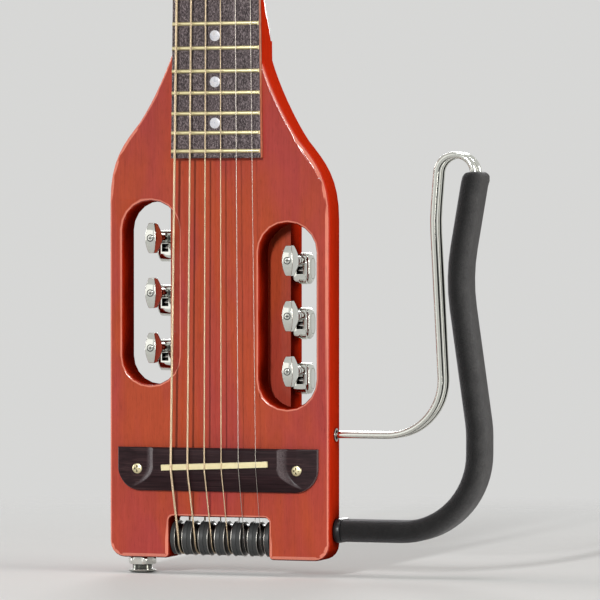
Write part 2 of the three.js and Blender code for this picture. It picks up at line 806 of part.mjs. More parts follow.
// The lens-shaped knob is cut from a bar whose back is barrelled, and carries the worm's shaft
function knobPiece() {
  const wide = knobWidth / 2;
  const tall = knobHeight / 2;
  const tip = knobTipWidth / 2;
  const lens = new THREE.Shape();
  lens.moveTo(-tip, -tall);
  lens.lineTo(tip, -tall);
  lens.quadraticCurveTo(2 * wide - tip, 0, tip, tall);
  lens.lineTo(-tip, tall);
  lens.quadraticCurveTo(-2 * wide + tip, 0, -tip, -tall);
  const sideView = new THREE.Shape();
  sideView.moveTo(knobRecess, -tall - overrun);
  sideView.lineTo(knobEndDepth, -tall - overrun);
  sideView.lineTo(knobEndDepth, -tall);
  sideView.quadraticCurveTo(2 * knobDepth - knobEndDepth, 0, knobEndDepth, tall);
  sideView.lineTo(knobEndDepth, tall + overrun);
  sideView.lineTo(knobRecess, tall + overrun);
  const head = common(
    alongDepth(lens, 0, 2 * knobDepth, 0),
    alongWidth(sideView, -wide - overrun, wide + overrun),
  );
  const wormEnd = housingFront + housingDepth - 2 * gearPlay - shaftRadius;
  const wormStart = wormEnd - wormLength;
  const shaft = turned([
    [0, knobEndDepth], [shaftRadius, knobEndDepth], [shaftRadius, wormStart],
    [wormRadius, wormStart + wormRadius - shaftRadius], [wormRadius, wormEnd - wormRadius + shaftRadius],
    [shaftRadius, wormEnd], [0, wormEnd],
  ], 12);
  const socket = turned(rodProfile(knobScrewRadius, -overrun, knobRecess + knobScrewDepth), 16);
  return cutBy(joined(head, shaft), socket);
}

function housingShape(inset) {
  const front = housingFront + inset;
  const back = housingFront + housingDepth - inset;
  const low = -postOffset - housingDepth / 2 + inset;
  const top = housingTop - inset;
  const foot = housingDepth / 2 - inset - contactGap;
  return shapeOf([
    [flat(front, low), foot], [flat(back, low), foot],
    [flat(back, top), housingCorner], [flat(front, top), housingCorner],
  ], Math.PI / 6);
}

const housingInner = halfSpine + contactGap;
const housingOuter = housingInner + housingThickness;

function housingPiece() {
  const block = alongWidth(housingShape(0), housingInner, housingOuter);
  const collar = turned(rodProfile(collarRadius, housingFront - collarLength, housingFront + shaftRadius), 12)
    .translate(tunerInset, 0, 0);
  const tunnel = turned([
    [0, housingFront - collarLength - overrun], [shaftRadius + shaftRunning, housingFront - collarLength - overrun],
    [shaftRadius + shaftRunning, housingFront + gearPlay], [wormRadius + shaftRunning, housingFront + 2 * gearPlay],
    [wormRadius + shaftRunning, housingFront + housingDepth - 2 * gearPlay], [0, housingFront + housingDepth - 2 * gearPlay],
  ], 12).translate(tunerInset, 0, 0);
  const pocket = ontoX(turned(rodProfile(wheelRadius + gearPlay, wheelStart() - gearPlay, housingOuter + overrun), 14))
    .translate(0, postDepth, -postOffset);
  const postHole = ontoX(turned(rodProfile(fitRadius(postRadius), housingInner - overrun, housingOuter), 12))
    .translate(0, postDepth, -postOffset);
  return cutBy(joined(block, collar), tunnel, pocket, postHole);
}

function coverPiece() {
  const start = housingOuter + contactGap;
  return alongWidth(housingShape(coverInset), start, start + coverThickness, coverRound, 1);
}

function wheelStart() {
  return tunerInset - wheelThickness / 2;
}

// The string post with the worm wheel at its outer end
function postPiece() {
  const outline = [];
  for (let tooth = 0; tooth < wheelTeeth; tooth += 1) {
    [[0, wheelRadius - toothDepth], [0.33, wheelRadius], [0.67, wheelRadius]]
      .forEach(([part, radius]) => {
        const angle = 2 * Math.PI * (tooth + part) / wheelTeeth;
        outline.push(new THREE.Vector2(radius * Math.cos(angle), radius * Math.sin(angle)));
      });
  }
  const wheel = alongWidth(new THREE.Shape(outline), wheelStart(), wheelStart() + wheelThickness);
  const bar = ontoX(turned([
    [0, postReach], [postRadius - rimRound / 2, postReach], [postRadius, postReach + rimRound / 2],
    [postRadius, wheelStart() + wheelThickness / 2], [0, wheelStart() + wheelThickness / 2],
  ], 12));
  return joined(bar, wheel).translate(0, postDepth, -postOffset);
}

// Strings: from the anchor over the nut and the saddle, round their rollers and up to their posts
function stringPost(index) {
  const side = index < tunersPerSide ? -1 : 1;
  const rank = side < 0 ? index : stringCount - 1 - index;
  const first = side < 0 ? firstTuner : firstTuner - tunerStagger;
  const wall = channelWidth / 2 - postRadius;
  return {
    x: side * (wall - (wall - postReach - postRadius) * rank / (tunersPerSide - 1)),
    z: first - (tunersPerSide - 1 - rank) * tunerPitch - postOffset,
    side,
  };
}

function stringPiece(index) {
  const radius = gaugeOf(index) / 2;
  const nutX = across(index) * spreadAtNut;
  const saddleX = across(index) * spreadAtSaddle;
  const rollerX = across(index) * rollerPitch * (stringCount - 1);
  const saddleZ = -saddleSetback + saddleX * Math.tan(saddleSlant);
  const points = [
    new THREE.Vector3(nutX, -anchorHeight / 2, anchorEnd + ballLength / 2),
    new THREE.Vector3(nutX, -anchorHeight / 2, anchorStart),
    new THREE.Vector3(nutX, -heightAtNut(index), scaleLength + nutThickness + contactGap),
    new THREE.Vector3(nutX, -heightAtNut(index), scaleLength),
    new THREE.Vector3(saddleX, -heightAtSaddle(index), saddleZ + saddleThickness / 2),
    new THREE.Vector3(saddleX, -heightAtSaddle(index), saddleZ - saddleThickness / 2),
  ];
  const wrapSteps = 5;
  const wrap = (grooveRadius + contactGap + radius) / Math.cos(Math.PI / wrapSteps / 2);
  for (let step = 0; step <= wrapSteps; step += 1) {
    const angle = Math.PI * step / wrapSteps;
    points.push(new THREE.Vector3(rollerX, rollerDepth - wrap * Math.cos(angle), -rollerDrop - wrap * Math.sin(angle)));
  }
  const post = stringPost(index);
  const turnSteps = 9;
  const wind = (postRadius + contactGap + radius) / Math.cos(Math.PI / turnSteps);
  const pitch = 2 * radius + contactGap;
  for (let step = 0; step <= Math.round(windTurns * turnSteps); step += 1) {
    const angle = 2 * Math.PI * step / turnSteps;
    points.push(new THREE.Vector3(
      post.x - post.side * pitch * (windTurns - step / turnSteps),
      postDepth - wind * Math.cos(angle),
      post.z + wind * Math.sin(angle),
    ));
  }
  const wire = alongRoute(discShape(radius, 6), points);
  const ball = ontoZ(turned(rodProfile(ballRadius, 0, ballLength), 10))
    .translate(nutX, -anchorHeight / 2, anchorEnd + contactGap);
  return joined(wire, ball);
}

// Output jack: the barrel in the tail and the nut that clamps it
function jackPiece() {
  const outside = jackNutThickness + jackWaistLength + jackFlangeThickness + contactGap;
  return ontoZ(turned([
    [jackBoreRadius, -outside], [jackFlangeRadius, -outside],
    [jackFlangeRadius, -outside + jackFlangeThickness], [jackBarrelRadius, -outside + jackFlangeThickness],
    [jackBarrelRadius, jackBarrelLength], [0, jackBarrelLength],
    [0, jackBoreLength - outside], [jackBoreRadius, jackBoreLength - outside], [jackBoreRadius, -outside],
  ])).translate(-jackInset, rollerDepth, -tailLength);
}

function jackNutPiece() {
  const nut = new THREE.Shape(discShape(jackNutWidth / Math.sqrt(3), 6).getPoints());
  const bore = discShape(fitRadius(jackBarrelRadius), 20);
  nut.holes.push(bore);
  return alongHeight(nut, -tailLength - contactGap - jackNutThickness, -tailLength - contactGap)
    .translate(-jackInset, rollerDepth, 0);
}

// Lap rest: the hairpin's route in X and Z, from its hole to the end of its foam sleeve
function restRoute(depth, start, end) {
  const at = (share, height) => new THREE.Vector3(halfWidth + restReach * share, depth, height);
  const up = (share) => -restDrop + (restTop + restDrop) * share;
  return rounded([
    [new THREE.Vector3(start, depth, rodHeight), 0],
    [at(kneeReachShare, rodHeight), kneeRadius],
    [at(backReachShare, up(backHeightShare)), backRadius],
    [at(hookReachShare, restTop), hookRadius],
    [at(hookEndReachShare, restTop), hookRadius],
    [at(waistReachShare, up(waistHeightShare)), waistRadius],
    [at(bellyReachShare, up(bellyHeightShare)), bellyRadius],
    [at(1, -restDrop), cornerRadius],
    [new THREE.Vector3(end, depth, -restDrop), 0],
  ], false, Math.PI / 10);
}

function rodRearEnd() {
  return channelWidth / 2 + (halfSpine - channelWidth / 2) / 2;
}

function restRodPiece() {
  const turn = rodPitch / 2;
  const end = halfWidth + 2 * contactGap + footThickness + rodRadius + contactGap + turn;
  const front = restRoute(rodFrontDepth, halfWidth - rodInsertion + contactGap, end);
  const rear = restRoute(rodRearDepth, rodRearEnd(), end).reverse();
  const bend = [];
  const steps = 6;
  for (let step = 1; step < steps; step += 1) {
    const angle = Math.PI * step / steps;
    bend.push(new THREE.Vector3(
      end - turn * Math.sin(angle), rodFrontDepth + turn - turn * Math.cos(angle), -restDrop,
    ));
  }
  return alongRoute(discShape(rodRadius, 8), [...front, ...bend, ...rear]);
}

function sleevePiece() {
  const half = sleeveThickness / 2;
  const deep = sleeveDepth / 2;
  const section = boxShape(-deep, -half, deep, half, half - contactGap, Math.PI / 8);
  const room = fitRadius(rodRadius);
  section.holes.push(boxShape(-rodPitch / 2 - room, -room, rodPitch / 2 + room, room,
    room - contactGap, Math.PI / 4));
  const middle = rodFrontDepth + rodPitch / 2;
  const end = halfWidth + 2 * contactGap + footThickness;
  const full = restRoute(middle, halfWidth, end);
  const hook = full.findIndex((point) => point.z > restTop - contactGap) + 1;
  const top = full.slice(hook).findIndex((point) => point.z < restTop - hookRadius * 0.9) + hook;
  return alongRoute(section, full.slice(top));
}

function footPiece() {
  const middle = rodFrontDepth + rodPitch / 2;
  const shape = boxShape(middle - footDepth / 2, -restDrop - footHeight / 2, middle + footDepth / 2,
    -restDrop + footHeight / 2, footHeight / 2 - contactGap, Math.PI / 8);
  return alongWidth(shape, halfWidth + contactGap, halfWidth + contactGap + footThickness, footRound, 1);
}

function bushPiece() {
  const outer = bushRadius - bushRim;
  return ontoX(turned([
    [rodHoleRadius, -bushLength], [outer, -bushLength], [outer, contactGap], [bushRadius, contactGap],
    [bushRadius, contactGap + bushRim], [rodHoleRadius, contactGap + bushRim], [rodHoleRadius, -bushLength],
  ])).translate(halfWidth, rodFrontDepth, rodHeight);
}

// Strap button on the heel
function buttonPiece() {
  const start = backFace + contactGap;
  const end = start + buttonLength;
  const lip = buttonLength * 0.22;
  const body = turned([
    [0, start], [buttonRadius * 0.85, start], [buttonNeckRadius, start + lip],
    [buttonNeckRadius, end - 2 * lip], [buttonRadius, end - lip], [buttonRadius * 0.9, end], [0, end],
  ]);
  const hole = turned(screwProfile(buttonScrewRadius, buttonScrewShank, buttonLength + buttonScrewLength,
    buttonScrewRadius - buttonScrewShank, contactGap), 14).rotateX(Math.PI).translate(0, end, 0);
  return cutBy(body, hole).translate(0, 0, buttonHeight);
}

function buttonScrewPiece() {
  const end = backFace + contactGap + buttonLength;
  return turned(screwProfile(buttonScrewRadius, buttonScrewShank, buttonLength + buttonScrewLength - overrun,
    buttonScrewRadius - buttonScrewShank), 14).rotateX(Math.PI).translate(0, end, buttonHeight);
}

addPiece('body_and_neck', bodyPiece(), 'redMaple');
addPiece('tuner_spine', spinePiece(), 'redMaple');
addPiece('fingerboard', boardPiece(), 'rosewood');
addPiece('nut', nutPiece(), 'ivory');
addPiece('string_anchor', anchorPiece(), 'steel');
addPiece('truss_rod', trussPiece(), 'steel');
addPiece('bridge', bridgePiece(), 'rosewood');
addPiece('saddle', saddlePiece(), 'ivory');
addPiece('pickup_strip', pickupPiece(), 'brass');
addPiece('roller_axle', ontoX(turned(rodProfile(axleRadius, -axleHalf(), axleHalf()), 24))
  .translate(0, rollerDepth, -rollerDrop), 'steel');
addPiece('output_jack', jackPiece(), 'chrome');
addPiece('jack_nut', jackNutPiece(), 'chrome');
addPiece('lap_rest_rod', restRodPiece(), 'chrome');
addPiece('lap_rest_sleeve', sleevePiece(), 'foam');
addPiece('lap_rest_foot', footPiece(), 'rubber');
addPiece('lap_rest_bush', bushPiece(), 'steel');
addPiece('strap_button', buttonPiece(), 'chrome');
addPiece('strap_button_screw', buttonScrewPiece(), 'steel');

const handNames = { '-1': 'left', 1: 'right' };
bridgeScrewPlaces().forEach(([x, z]) => {
  const screw = turned(screwProfile(bridgeScrewHead, bridgeScrewShank, bridgeScrewLength, countersink), 16);
  addPiece(`bridge_screw_${handNames[Math.sign(x)]}`, screw.translate(x, -wingHeight, z), 'brass');
});
anchorScrewPlaces().forEach(([x, z]) => {
  const screw = turned(screwProfile(anchorScrewRadius, anchorScrewShank, anchorScrewLength,
    anchorScrewRadius - anchorScrewShank), 14);
  addPiece(`anchor_screw_${handNames[Math.sign(x)]}`, screw.translate(x, -anchorHeight - contactGap, z), 'steel');
});

for (let index = 0; index < stringCount; index += 1) {
  const name = stringCount - index;
  addPiece(`string_${name}`, stringPiece(index), index < 4 ? 'bronze' : 'steel');
  const roller = addPiece(`roller_${name}`, rollerPiece(), 'blackPlastic');
  roller.position.set(across(index) * rollerPitch * (stringCount - 1), rollerDepth, -rollerDrop);
}

// Each tuner is a group at its shaft; the right-hand ones are the left-hand ones mirrored
tunerPlaces().forEach(({ side, index, z }) => {
  const tuner = new THREE.Group();
  tuner.position.z = z;
  guitar.add(tuner);
  const name = `${handNames[side]}_${index + 1}`;
  const mirrored = (geometry) => (side > 0 ? geometry : mirrorX(geometry));
  addPiece(`tuner_housing_${name}`, mirrored(housingPiece()), 'chrome', tuner);
  addPiece(`tuner_cover_${name}`, mirrored(coverPiece()), 'chrome', tuner);
  addPiece(`tuner_post_${name}`, mirrored(postPiece()), 'steel', tuner);
  const knob = addPiece(`tuner_knob_${name}`, knobPiece(), 'chrome', tuner);
  knob.position.x = side * tunerInset;
});

// Mirrors a geometry left to right, with its faces still pointing outwards
function mirrorX(geometry) {
  const source = geometry.index ? geometry.toNonIndexed() : geometry;
  const mirrored = new THREE.BufferGeometry();
  const places = source.attributes.position;
  const values = [];
  for (let corner = 0; corner < places.count; corner += 3) {
    [corner, corner + 2, corner + 1].forEach((index) => {
      values.push(-places.getX(index), places.getY(index), places.getZ(index));
    });
  }
  mirrored.setAttribute('position', new THREE.Float32BufferAttribute(values, 3));
  mirrored.computeVertexNormals();
  return mirrored;
}

guitar.position.set(0, -backFace, -holdHeight);

const model = new THREE.Group();
model.add(guitar);

export default model;
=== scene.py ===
from math import ceil, cos, hypot, pi, radians, sin, sqrt, tan

import bmesh
import bpy
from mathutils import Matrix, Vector


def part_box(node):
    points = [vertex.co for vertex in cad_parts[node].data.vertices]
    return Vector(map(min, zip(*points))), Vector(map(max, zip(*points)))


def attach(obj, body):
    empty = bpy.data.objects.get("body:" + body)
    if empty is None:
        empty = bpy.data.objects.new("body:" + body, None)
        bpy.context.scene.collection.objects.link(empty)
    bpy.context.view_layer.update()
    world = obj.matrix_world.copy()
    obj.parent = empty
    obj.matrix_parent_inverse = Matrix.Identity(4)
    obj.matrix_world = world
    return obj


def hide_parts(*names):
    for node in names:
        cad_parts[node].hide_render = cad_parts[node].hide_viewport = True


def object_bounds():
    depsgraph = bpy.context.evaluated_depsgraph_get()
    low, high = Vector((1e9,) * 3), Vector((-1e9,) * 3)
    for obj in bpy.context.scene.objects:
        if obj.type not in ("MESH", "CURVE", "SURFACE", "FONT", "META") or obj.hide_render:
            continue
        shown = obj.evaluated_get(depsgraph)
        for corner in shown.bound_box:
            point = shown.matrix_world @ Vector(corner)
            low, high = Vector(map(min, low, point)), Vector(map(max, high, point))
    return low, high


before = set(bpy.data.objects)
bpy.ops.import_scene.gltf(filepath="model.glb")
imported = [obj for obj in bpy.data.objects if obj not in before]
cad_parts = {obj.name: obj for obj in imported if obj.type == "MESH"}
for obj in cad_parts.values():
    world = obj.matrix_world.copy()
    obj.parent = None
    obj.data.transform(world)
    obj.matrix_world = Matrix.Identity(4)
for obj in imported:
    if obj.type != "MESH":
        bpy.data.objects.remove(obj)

CAD_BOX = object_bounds()

# Where the guitar frame lies: the front face of the body, and the saddle end of the scale length
TAIL_LENGTH = 0.058
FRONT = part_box("body_and_neck")[0].y
SADDLE_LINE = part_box("body_and_neck")[0].z + TAIL_LENGTH
HALF_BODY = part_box("body_and_neck")[1].x

# Camera
SENSOR_WIDTH = 36
LENS = 261.24
VIEW_DEPTH = 30
CAMERA_PLACE = (0.8356, -2.4011, -0.016)
CAMERA_FALL = 0.71
CAMERA_AZIMUTH = 18.44

# Meshes: the clearance between pieces, how far apart points are joined, and angles in degrees
GAP = 0.0003
JOIN_REACH = 0.000002
WELD_REACH = 0.000004
SHARP_ANGLE = 35

# Strings and fingerboard
SCALE_LENGTH = 0.62865
FRET_COUNT = 22
STRING_COUNT = 6
BASS_GAUGE = 0.00135
GAUGE_SHARES = (1, 0.79, 0.6, 0.45, 0.3, 0.22)
WOUND_COUNT = 4
WINDING_PITCH = 0.0004
SPREAD_AT_NUT = 0.0349
SPREAD_AT_SADDLE = 0.0513
CAMBER_RADIUS = 0.4
NUT_WIDTH = 0.04286
WIDTH_GROWTH = 0.02524
BOARD_THICKNESS = 0.0058
BOARD_OVERHANG = 0.004
ROSEWOOD_SHARE = 0.36
BOARD_SEAM = BOARD_THICKNESS * (1 - ROSEWOOD_SHARE)
BOARD_BEVEL = 0.00025
FRET_HEIGHT = 0.00105
FRET_WIDTH = 0.0023
FRET_LEAN = FRET_HEIGHT * 0.6
STRING_LIFT = 0.0005
NUT_THICKNESS = 0.004
NUT_BEVEL = 0.0001
DOT_RADIUS = 0.0031
DOT_LIFT = 0.00006
DOT_FRETS = (3, 5, 7, 9, 15, 17, 19, 21)
DOUBLE_DOT_FRET = 12
DOUBLE_DOT_SPREAD = 0.009

# String route
ANCHOR_START = SCALE_LENGTH + 0.009
ANCHOR_END = ANCHOR_START + 0.0065
ANCHOR_HEIGHT = 0.006
BALL_RADIUS = 0.002
BALL_LENGTH = 0.004
SADDLE_TOP = 0.0093
SADDLE_SETBACK = 0.0041
SADDLE_THICKNESS = 0.0033
SADDLE_SLANT = radians(2.44)
SADDLE_BEVEL = 0.0002
ROLLER_PITCH = 0.01
FLANGE_RADIUS = 0.0102
DRUM_RADIUS = 0.0097
ROLLER_DEPTH = 0.0108
ROLLER_DROP = 0.0467
GROOVE_RADIUS = 0.0082
GROOVE_HALF = 0.0021
GROOVE_RIM = 0.0005
GROOVE_FLARE = 0.0009
FLANGE_THICKNESS = 0.00035
ROLLER_EDGE = 0.0001
AXLE_RADIUS = 0.003
POST_RADIUS = 0.003
POST_REACH = 0.014
POST_DEPTH = 0.031
POST_OFFSET = 0.0066
CHANNEL_HALF = 0.0288
FIRST_TUNER = 0.1266
TUNER_PITCH = 0.03175
TUNER_STAGGER = 0.013
TUNERS_PER_SIDE = 3
TUNER_NAMES = [f"{side}_{number}" for side in ("left", "right") for number in range(1, TUNERS_PER_SIDE + 1)]
WIND_TURNS = 1.5

# Bridge
BRIDGE_HALF = 0.06075
BRIDGE_TOP = 0.006
BRIDGE_BOTTOM = 0.019
BRIDGE_CORNER = 0.014
BRIDGE_HEIGHT = 0.0065
BRIDGE_TAIL_HEIGHT = 0.0026
BRIDGE_FRONT_HEIGHT = 0.0053
BRIDGE_FRONT_LENGTH = 0.0011
BRIDGE_BREAK = 0.01
BRIDGE_CENTRE = 0.0377
COVE_LENGTH = 0.006
COVE_BEND = -0.004
COVE_SPREAD = 55
WING_HEIGHT = 0.0036
WING_TIP_HEIGHT = 0.0024
WING_BREAK = 0.0484
BRIDGE_BLEND = 0.0004
BRIDGE_ROUND = 0.0005

# Slot ledges
LEDGE_IN = 0.022
LEDGE_FRONT = 0.0213
LEDGE_THICKNESS = 0.0015
LEDGE_START = 0.03
LEDGE_END = 0.128

# Knobs and housings
KNOB_HALF = 0.00325
KNOB_TIP = 0.0017
KNOB_TALL = 0.0087
KNOB_BACK = 0.0116
KNOB_SIDE = 0.0077
KNOB_BACK_HALF = 0.0025
KNOB_CROWN = 0.002
KNOB_ROUND = 0.0005
SOCKET_RADIUS = 0.0021
SOCKET_RISE = 0.00005
KNOB_SCREW = 0.0016
SHAFT_RADIUS = 0.0016
SHAFT_PLAY = 0.0001
WORM_ROOT = 0.001
WORM_START = 0.004
WORM_STOP = 0.0022
WORM_CREST = 0.0005
WORM_PITCH = 0.0012
WORM_TURNS = 6
COLLAR_REACH = 0.01
COLLAR_SINK = 0.0002
COLLAR_RADIUS = 0.0029
COLLAR_WAIST = 0.0026
HOUSING_FRONT = 0.024
HOUSING_DEPTH = 0.014
HOUSING_TOP = 0.0045
HOUSING_LOW = -0.0136
HOUSING_FOOT = 0.0037
HOUSING_CORNER = 0.0024
HOUSING_OUT = 0.045
HOUSING_EDGE = 0.0005
COVER_FLAT = 0.0004
COVER_BULGE = 0.0021
COVER_GROOVE = 0.0026
RECESS_IN = 0.0393
RECESS_OUT = 0.0434
RECESS_DROP = 0.0032
RECESS_TALL = 0.0047
RECESS_DEEP = 0.004
RECESS_LEAD = 0.001
RECESS_SCREW = 0.0013

# Lap rest
ROD_RADIUS = 0.0019
ROD_PITCH = 0.01095
ROD_INSERTION = 0.026
ROD_HEIGHT = 0.0139
ROD_FRONT_DEPTH = 0.01225
REST_REACH = 0.084
REST_TOP = 0.1736
REST_DROP = 0.041
REST_TALL = REST_TOP + REST_DROP
HOOK_RADIUS = 0.0106
# Each corner of the rod as its share of the reach, its height and its radius
REST_CORNERS = (
    (0.767, ROD_HEIGHT, 0.032), (0.69, -REST_DROP + REST_TALL * 0.829, 0.12),
    (0.724, REST_TOP, HOOK_RADIUS), (0.998, REST_TOP, HOOK_RADIUS),
    (0.856, -REST_DROP + REST_TALL * 0.676, 0.11), (1.002, -REST_DROP + REST_TALL * 0.275, 0.06),
    (1, -REST_DROP, 0.045),
)
SLEEVE_HALF = 0.00625
SLEEVE_DEEP = 0.0116
SLEEVE_ROUND = 0.0035
SLEEVE_STEP = 0.004
REAR_LEG_START = 0.004
FOOT_EDGE = 0.0009
BUSH_BORE = 0.0027
BUSH_RADIUS = 0.0033

# Output jack
BARREL_RADIUS = 0.00585
JACK_BORE = 0.00325
JACK_DEPTH = 0.034
FLANGE_TALL = 0.0014
THREAD_PITCH = 0.0005
THREAD_START = 0.0002
THREAD_END = 0.002
NUT_CHAMFER = 0.0006

# Strap button
PEG_NECK = 0.0036
PEG_FOOT = 0.0006
PEG_FLARE = 0.0024
PEG_BORE = 0.0019
PEG_SCREW = 0.003
PEG_HEAD = 0.0008

# Screws: crown, rim and depth of the cross of a large head, the cross as shares of the radius, and
# how far the tool that cuts it starts above the head
SCREW_HEAD = (0.0007, 0.0001, 0.001)
CROSS_REACH = 0.66
CROSS_WIDTH = 0.19
CROSS_LEAD = 0.00055

# Which part of a piece gets painted shade, and how near to a plane its faces lie
HOUSING_PART = 0
SCREW_PART = 3
PAINT_REACH = 0.00005
CROSS_RIM = 0.00016

# Floor and lights
FLOOR_GAP = 0.0005
FLOOR_REACH = 12
LIGHT_TARGET = (0.03, -0.03, 0)


def place(x, depth, height):
    return Vector((x, FRONT + depth, SADDLE_LINE + height))


def middle(node):
    low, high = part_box(node)
    return (low + high) / 2


def half_width(node):
    low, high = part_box(node)
    return (high.x - low.x) / 2


def link(name, data):
    item = bpy.data.objects.new(name, data)
    bpy.context.scene.collection.objects.link(item)
    return item


# Camera


def add_camera():
    data = bpy.data.cameras.new("camera")
    data.sensor_width = SENSOR_WIDTH
    data.lens = LENS
    data.clip_end = VIEW_DEPTH
    camera = link("camera", data)
    camera.location = CAMERA_PLACE
    camera.rotation_euler = (radians(90 - CAMERA_FALL), 0, radians(CAMERA_AZIMUTH))
    bpy.context.scene.camera = camera


add_camera()


# Node building


def new_node(tree, kind, inputs, output=0, **settings):
    """The output of a new node. Each input is a value, or the socket that it is linked from."""
    node = tree.nodes.new(f"ShaderNode{kind}")
    for name, value in settings.items():
        setattr(node, name, value)
    for name, value in inputs.items():
        if isinstance(value, bpy.types.NodeSocket):
            tree.links.new(value, node.inputs[name])
        else:
            node.inputs[name].default_value = value
    return node.outputs[output]


class Finish:
    """A node material: a principled shader with textures in the metres of the object's own frame."""

    def __init__(self, name, **values):
        self.material = bpy.data.materials.new(name)
        self.material.use_nodes = True
        self.tree = self.material.node_tree
        self.shader = self.tree.nodes["Principled BSDF"]
        for socket, value in values.items():
            self.shader.inputs[socket.replace("_", " ")].default_value = value
        self.place = self.node("TexCoord", {}, "Object")

    def node(self, kind, inputs, output=0, **settings):
        return new_node(self.tree, kind, inputs, output, **settings)

    def link(self, source, name):
        self.tree.links.new(source, self.shader.inputs[name])

    def noise(self, scale, detail, roughness, distortion=0):
        return self.node("TexNoise", {
            "Vector": self.node("Mapping", {"Vector": self.place, "Scale": scale}),
            "Scale": 1, "Detail": detail, "Roughness": roughness, "Distortion": distortion,
        }, "Fac")

    def ramp(self, factor, *stops):
        node = self.tree.nodes.new("ShaderNodeValToRGB")
        elements = node.color_ramp.elements
        while len(elements) < len(stops):
            elements.new(0.5)
        for element, (position, colour) in zip(elements, stops):
            element.position = position
            element.color = (*colour, 1) if isinstance(colour, tuple) else (colour, colour, colour, 1)
        self.tree.links.new(factor, node.inputs["Fac"])
        return node.outputs["Color"]

    def mix(self, factor, first, second, blend="MIX"):
        first, second = [(*value, 1) if isinstance(value, tuple) else value for value in (first, second)]
        return self.node("Mix", {0: factor, 6: first, 7: second}, 2,
                         data_type="RGBA", blend_type=blend)

    def math(self, operation, first, second=0):
        return self.node("Math", {0: first, 1: second}, operation=operation)

    def scaled(self, factor, low, high):
        return self.node("MapRange", {"Value": factor, "To Min": low, "To Max": high}, "Result")

    def normal(self, axis):
        normal = self.node("NewGeometry", {}, "Normal")
        return self.node("SeparateXYZ", {"Vector": normal}, axis)

    def shaded(self, colour, reach, low, high, amount=1):
        """The colour with painted shade: darker where the surface lies deep in a corner or a hollow."""
        openness = self.node("AmbientOcclusion", {"Distance": reach}, "AO", samples=8)
        return self.mix(amount, colour, self.ramp(openness, low, high), "MULTIPLY")

    def complete(self, colour, rough=(), relief=()):
        """The material with its colour, its roughness as (pattern, low, high), and its relief."""
        self.link(colour, "Base Color")
        if rough:
            self.link(self.scaled(*rough), "Roughness")
        if relief:
            values = dict(zip(("Height", "Distance", "Strength"), relief))
            self.link(self.node("Bump", values, "Normal"), "Normal")
        return self.material


def stained_maple():
    """Red stained maple with painted light: a painted highlight line along its rounded edges, sides painted a
    brighter orange than its faces, and painted shade deep in its slots. Glossier at its rounded edges.
    """
    finish = Finish("stained_maple", Coat_Roughness=0.14, IOR=1.4, Specular_IOR_Level=0)
    grain = finish.noise((900, 900, 22), 7, 0.66, 0.2)
    patches = finish.noise((34, 34, 9), 3, 0.5, 0.4)
    figure = finish.noise((150, 150, 60), 4, 0.6, 0.8)
    pores = finish.noise((2600, 2600, 170), 3, 0.5)
    warm = finish.mix(grain, (0.33, 0.046, 0.019), (0.53, 0.088, 0.034))
    rosy = finish.mix(grain, (0.31, 0.038, 0.032), (0.47, 0.07, 0.058))
    face = finish.mix(finish.ramp(patches, (0.38, 0), (0.62, 1)), warm, rosy)
    # Painted light: the sides get a brighter, more saturated orange than the faces, as if lit from the side.
    side = finish.mix(grain, (0.48, 0.014, 0.003), (0.68, 0.038, 0.008))
    facing = finish.normal("Y")
    flatness = finish.math("ABSOLUTE", facing)
    colour = finish.mix(finish.ramp(flatness, (0.15, 0), (0.95, 1)), side, face)
    # Painted highlight: a pale pink line where each rounded edge starts to turn away from the front.
    rim = finish.ramp(finish.math("MULTIPLY", facing, -1),
                      (0.82, 0), (0.9, 0.5), (0.965, 0.5), (0.985, 0))
    colour = finish.mix(rim, colour, (1, 0.38, 0.27))
    colour = finish.mix(0.5, colour, finish.ramp(figure, (0.3, 0.78), (0.7, 1)), "MULTIPLY")
    colour = finish.mix(0.4, colour, finish.ramp(pores, (0.3, 0.35), (0.44, 1)), "MULTIPLY")
    # Painted shade: the side-facing surfaces darken deep in the slots and corners.
    walls = finish.ramp(flatness, (0.15, 1), (0.95, 0.06))
    colour = finish.shaded(colour, 0.035, (0.45, 0.22), (0.85, 1), walls)
    coat = finish.ramp(flatness, (0.1, 0), (0.35, 0.7), (0.85, 0.6), (1, 0.25))
    finish.link(coat, "Coat Weight")
    return finish.complete(colour, (grain, 0.42, 0.56), (pores, 0.00003, 0.3))


def board_rosewood():
    finish = Finish("board_rosewood", IOR=1.45, Specular_IOR_Level=0.25)
    grain = finish.noise((1500, 1500, 800), 5, 0.8)
    streaks = finish.noise((420, 420, 16), 4, 0.6)
    colour = finish.ramp(grain, (0.4, (0.018, 0.013, 0.015)), (0.5, (0.08, 0.058, 0.062)),
                         (0.6, (0.3, 0.248, 0.256)))
    colour = finish.mix(0.6, colour, finish.ramp(streaks, (0.35, 0.35), (0.65, 1)), "MULTIPLY")
    return finish.complete(colour, (grain, 0.7, 0.5), (grain, 0.00012, 0.6))


def bridge_rosewood():
    """Dark rosewood with a painted highlight: paler where the coves slope sideways, speckled by its pores."""
    finish = Finish("bridge_rosewood", Coat_Weight=0.14, Coat_Roughness=0.26, IOR=1.45,
                    Specular_IOR_Level=0.06)
    grain = finish.noise((26, 900, 900), 6, 0.6, 0.4)
    pores = finish.noise((700, 2600, 2600), 3, 0.6)
    colour = finish.ramp(grain, (0.3, (0.008, 0.003, 0.004)), (0.55, (0.024, 0.011, 0.013)),
                         (0.8, (0.06, 0.032, 0.032)))
    # Painted highlight: the coves take a pale colour where they face sideways.
    sideways = finish.math("ABSOLUTE", finish.normal("X"))
    cove_highlight = finish.ramp(sideways, (0.1, 0), (0.45, 0.6), (0.9, 0.8))
    cove_highlight = finish.mix(1, cove_highlight, finish.ramp(pores, (0.35, 0.25), (0.6, 1)), "MULTIPLY")
    colour = finish.mix(cove_highlight, colour, (0.15, 0.125, 0.13))
    return finish.complete(colour, (pores, 0.3, 0.5), (pores, 0.0001, 0.5))


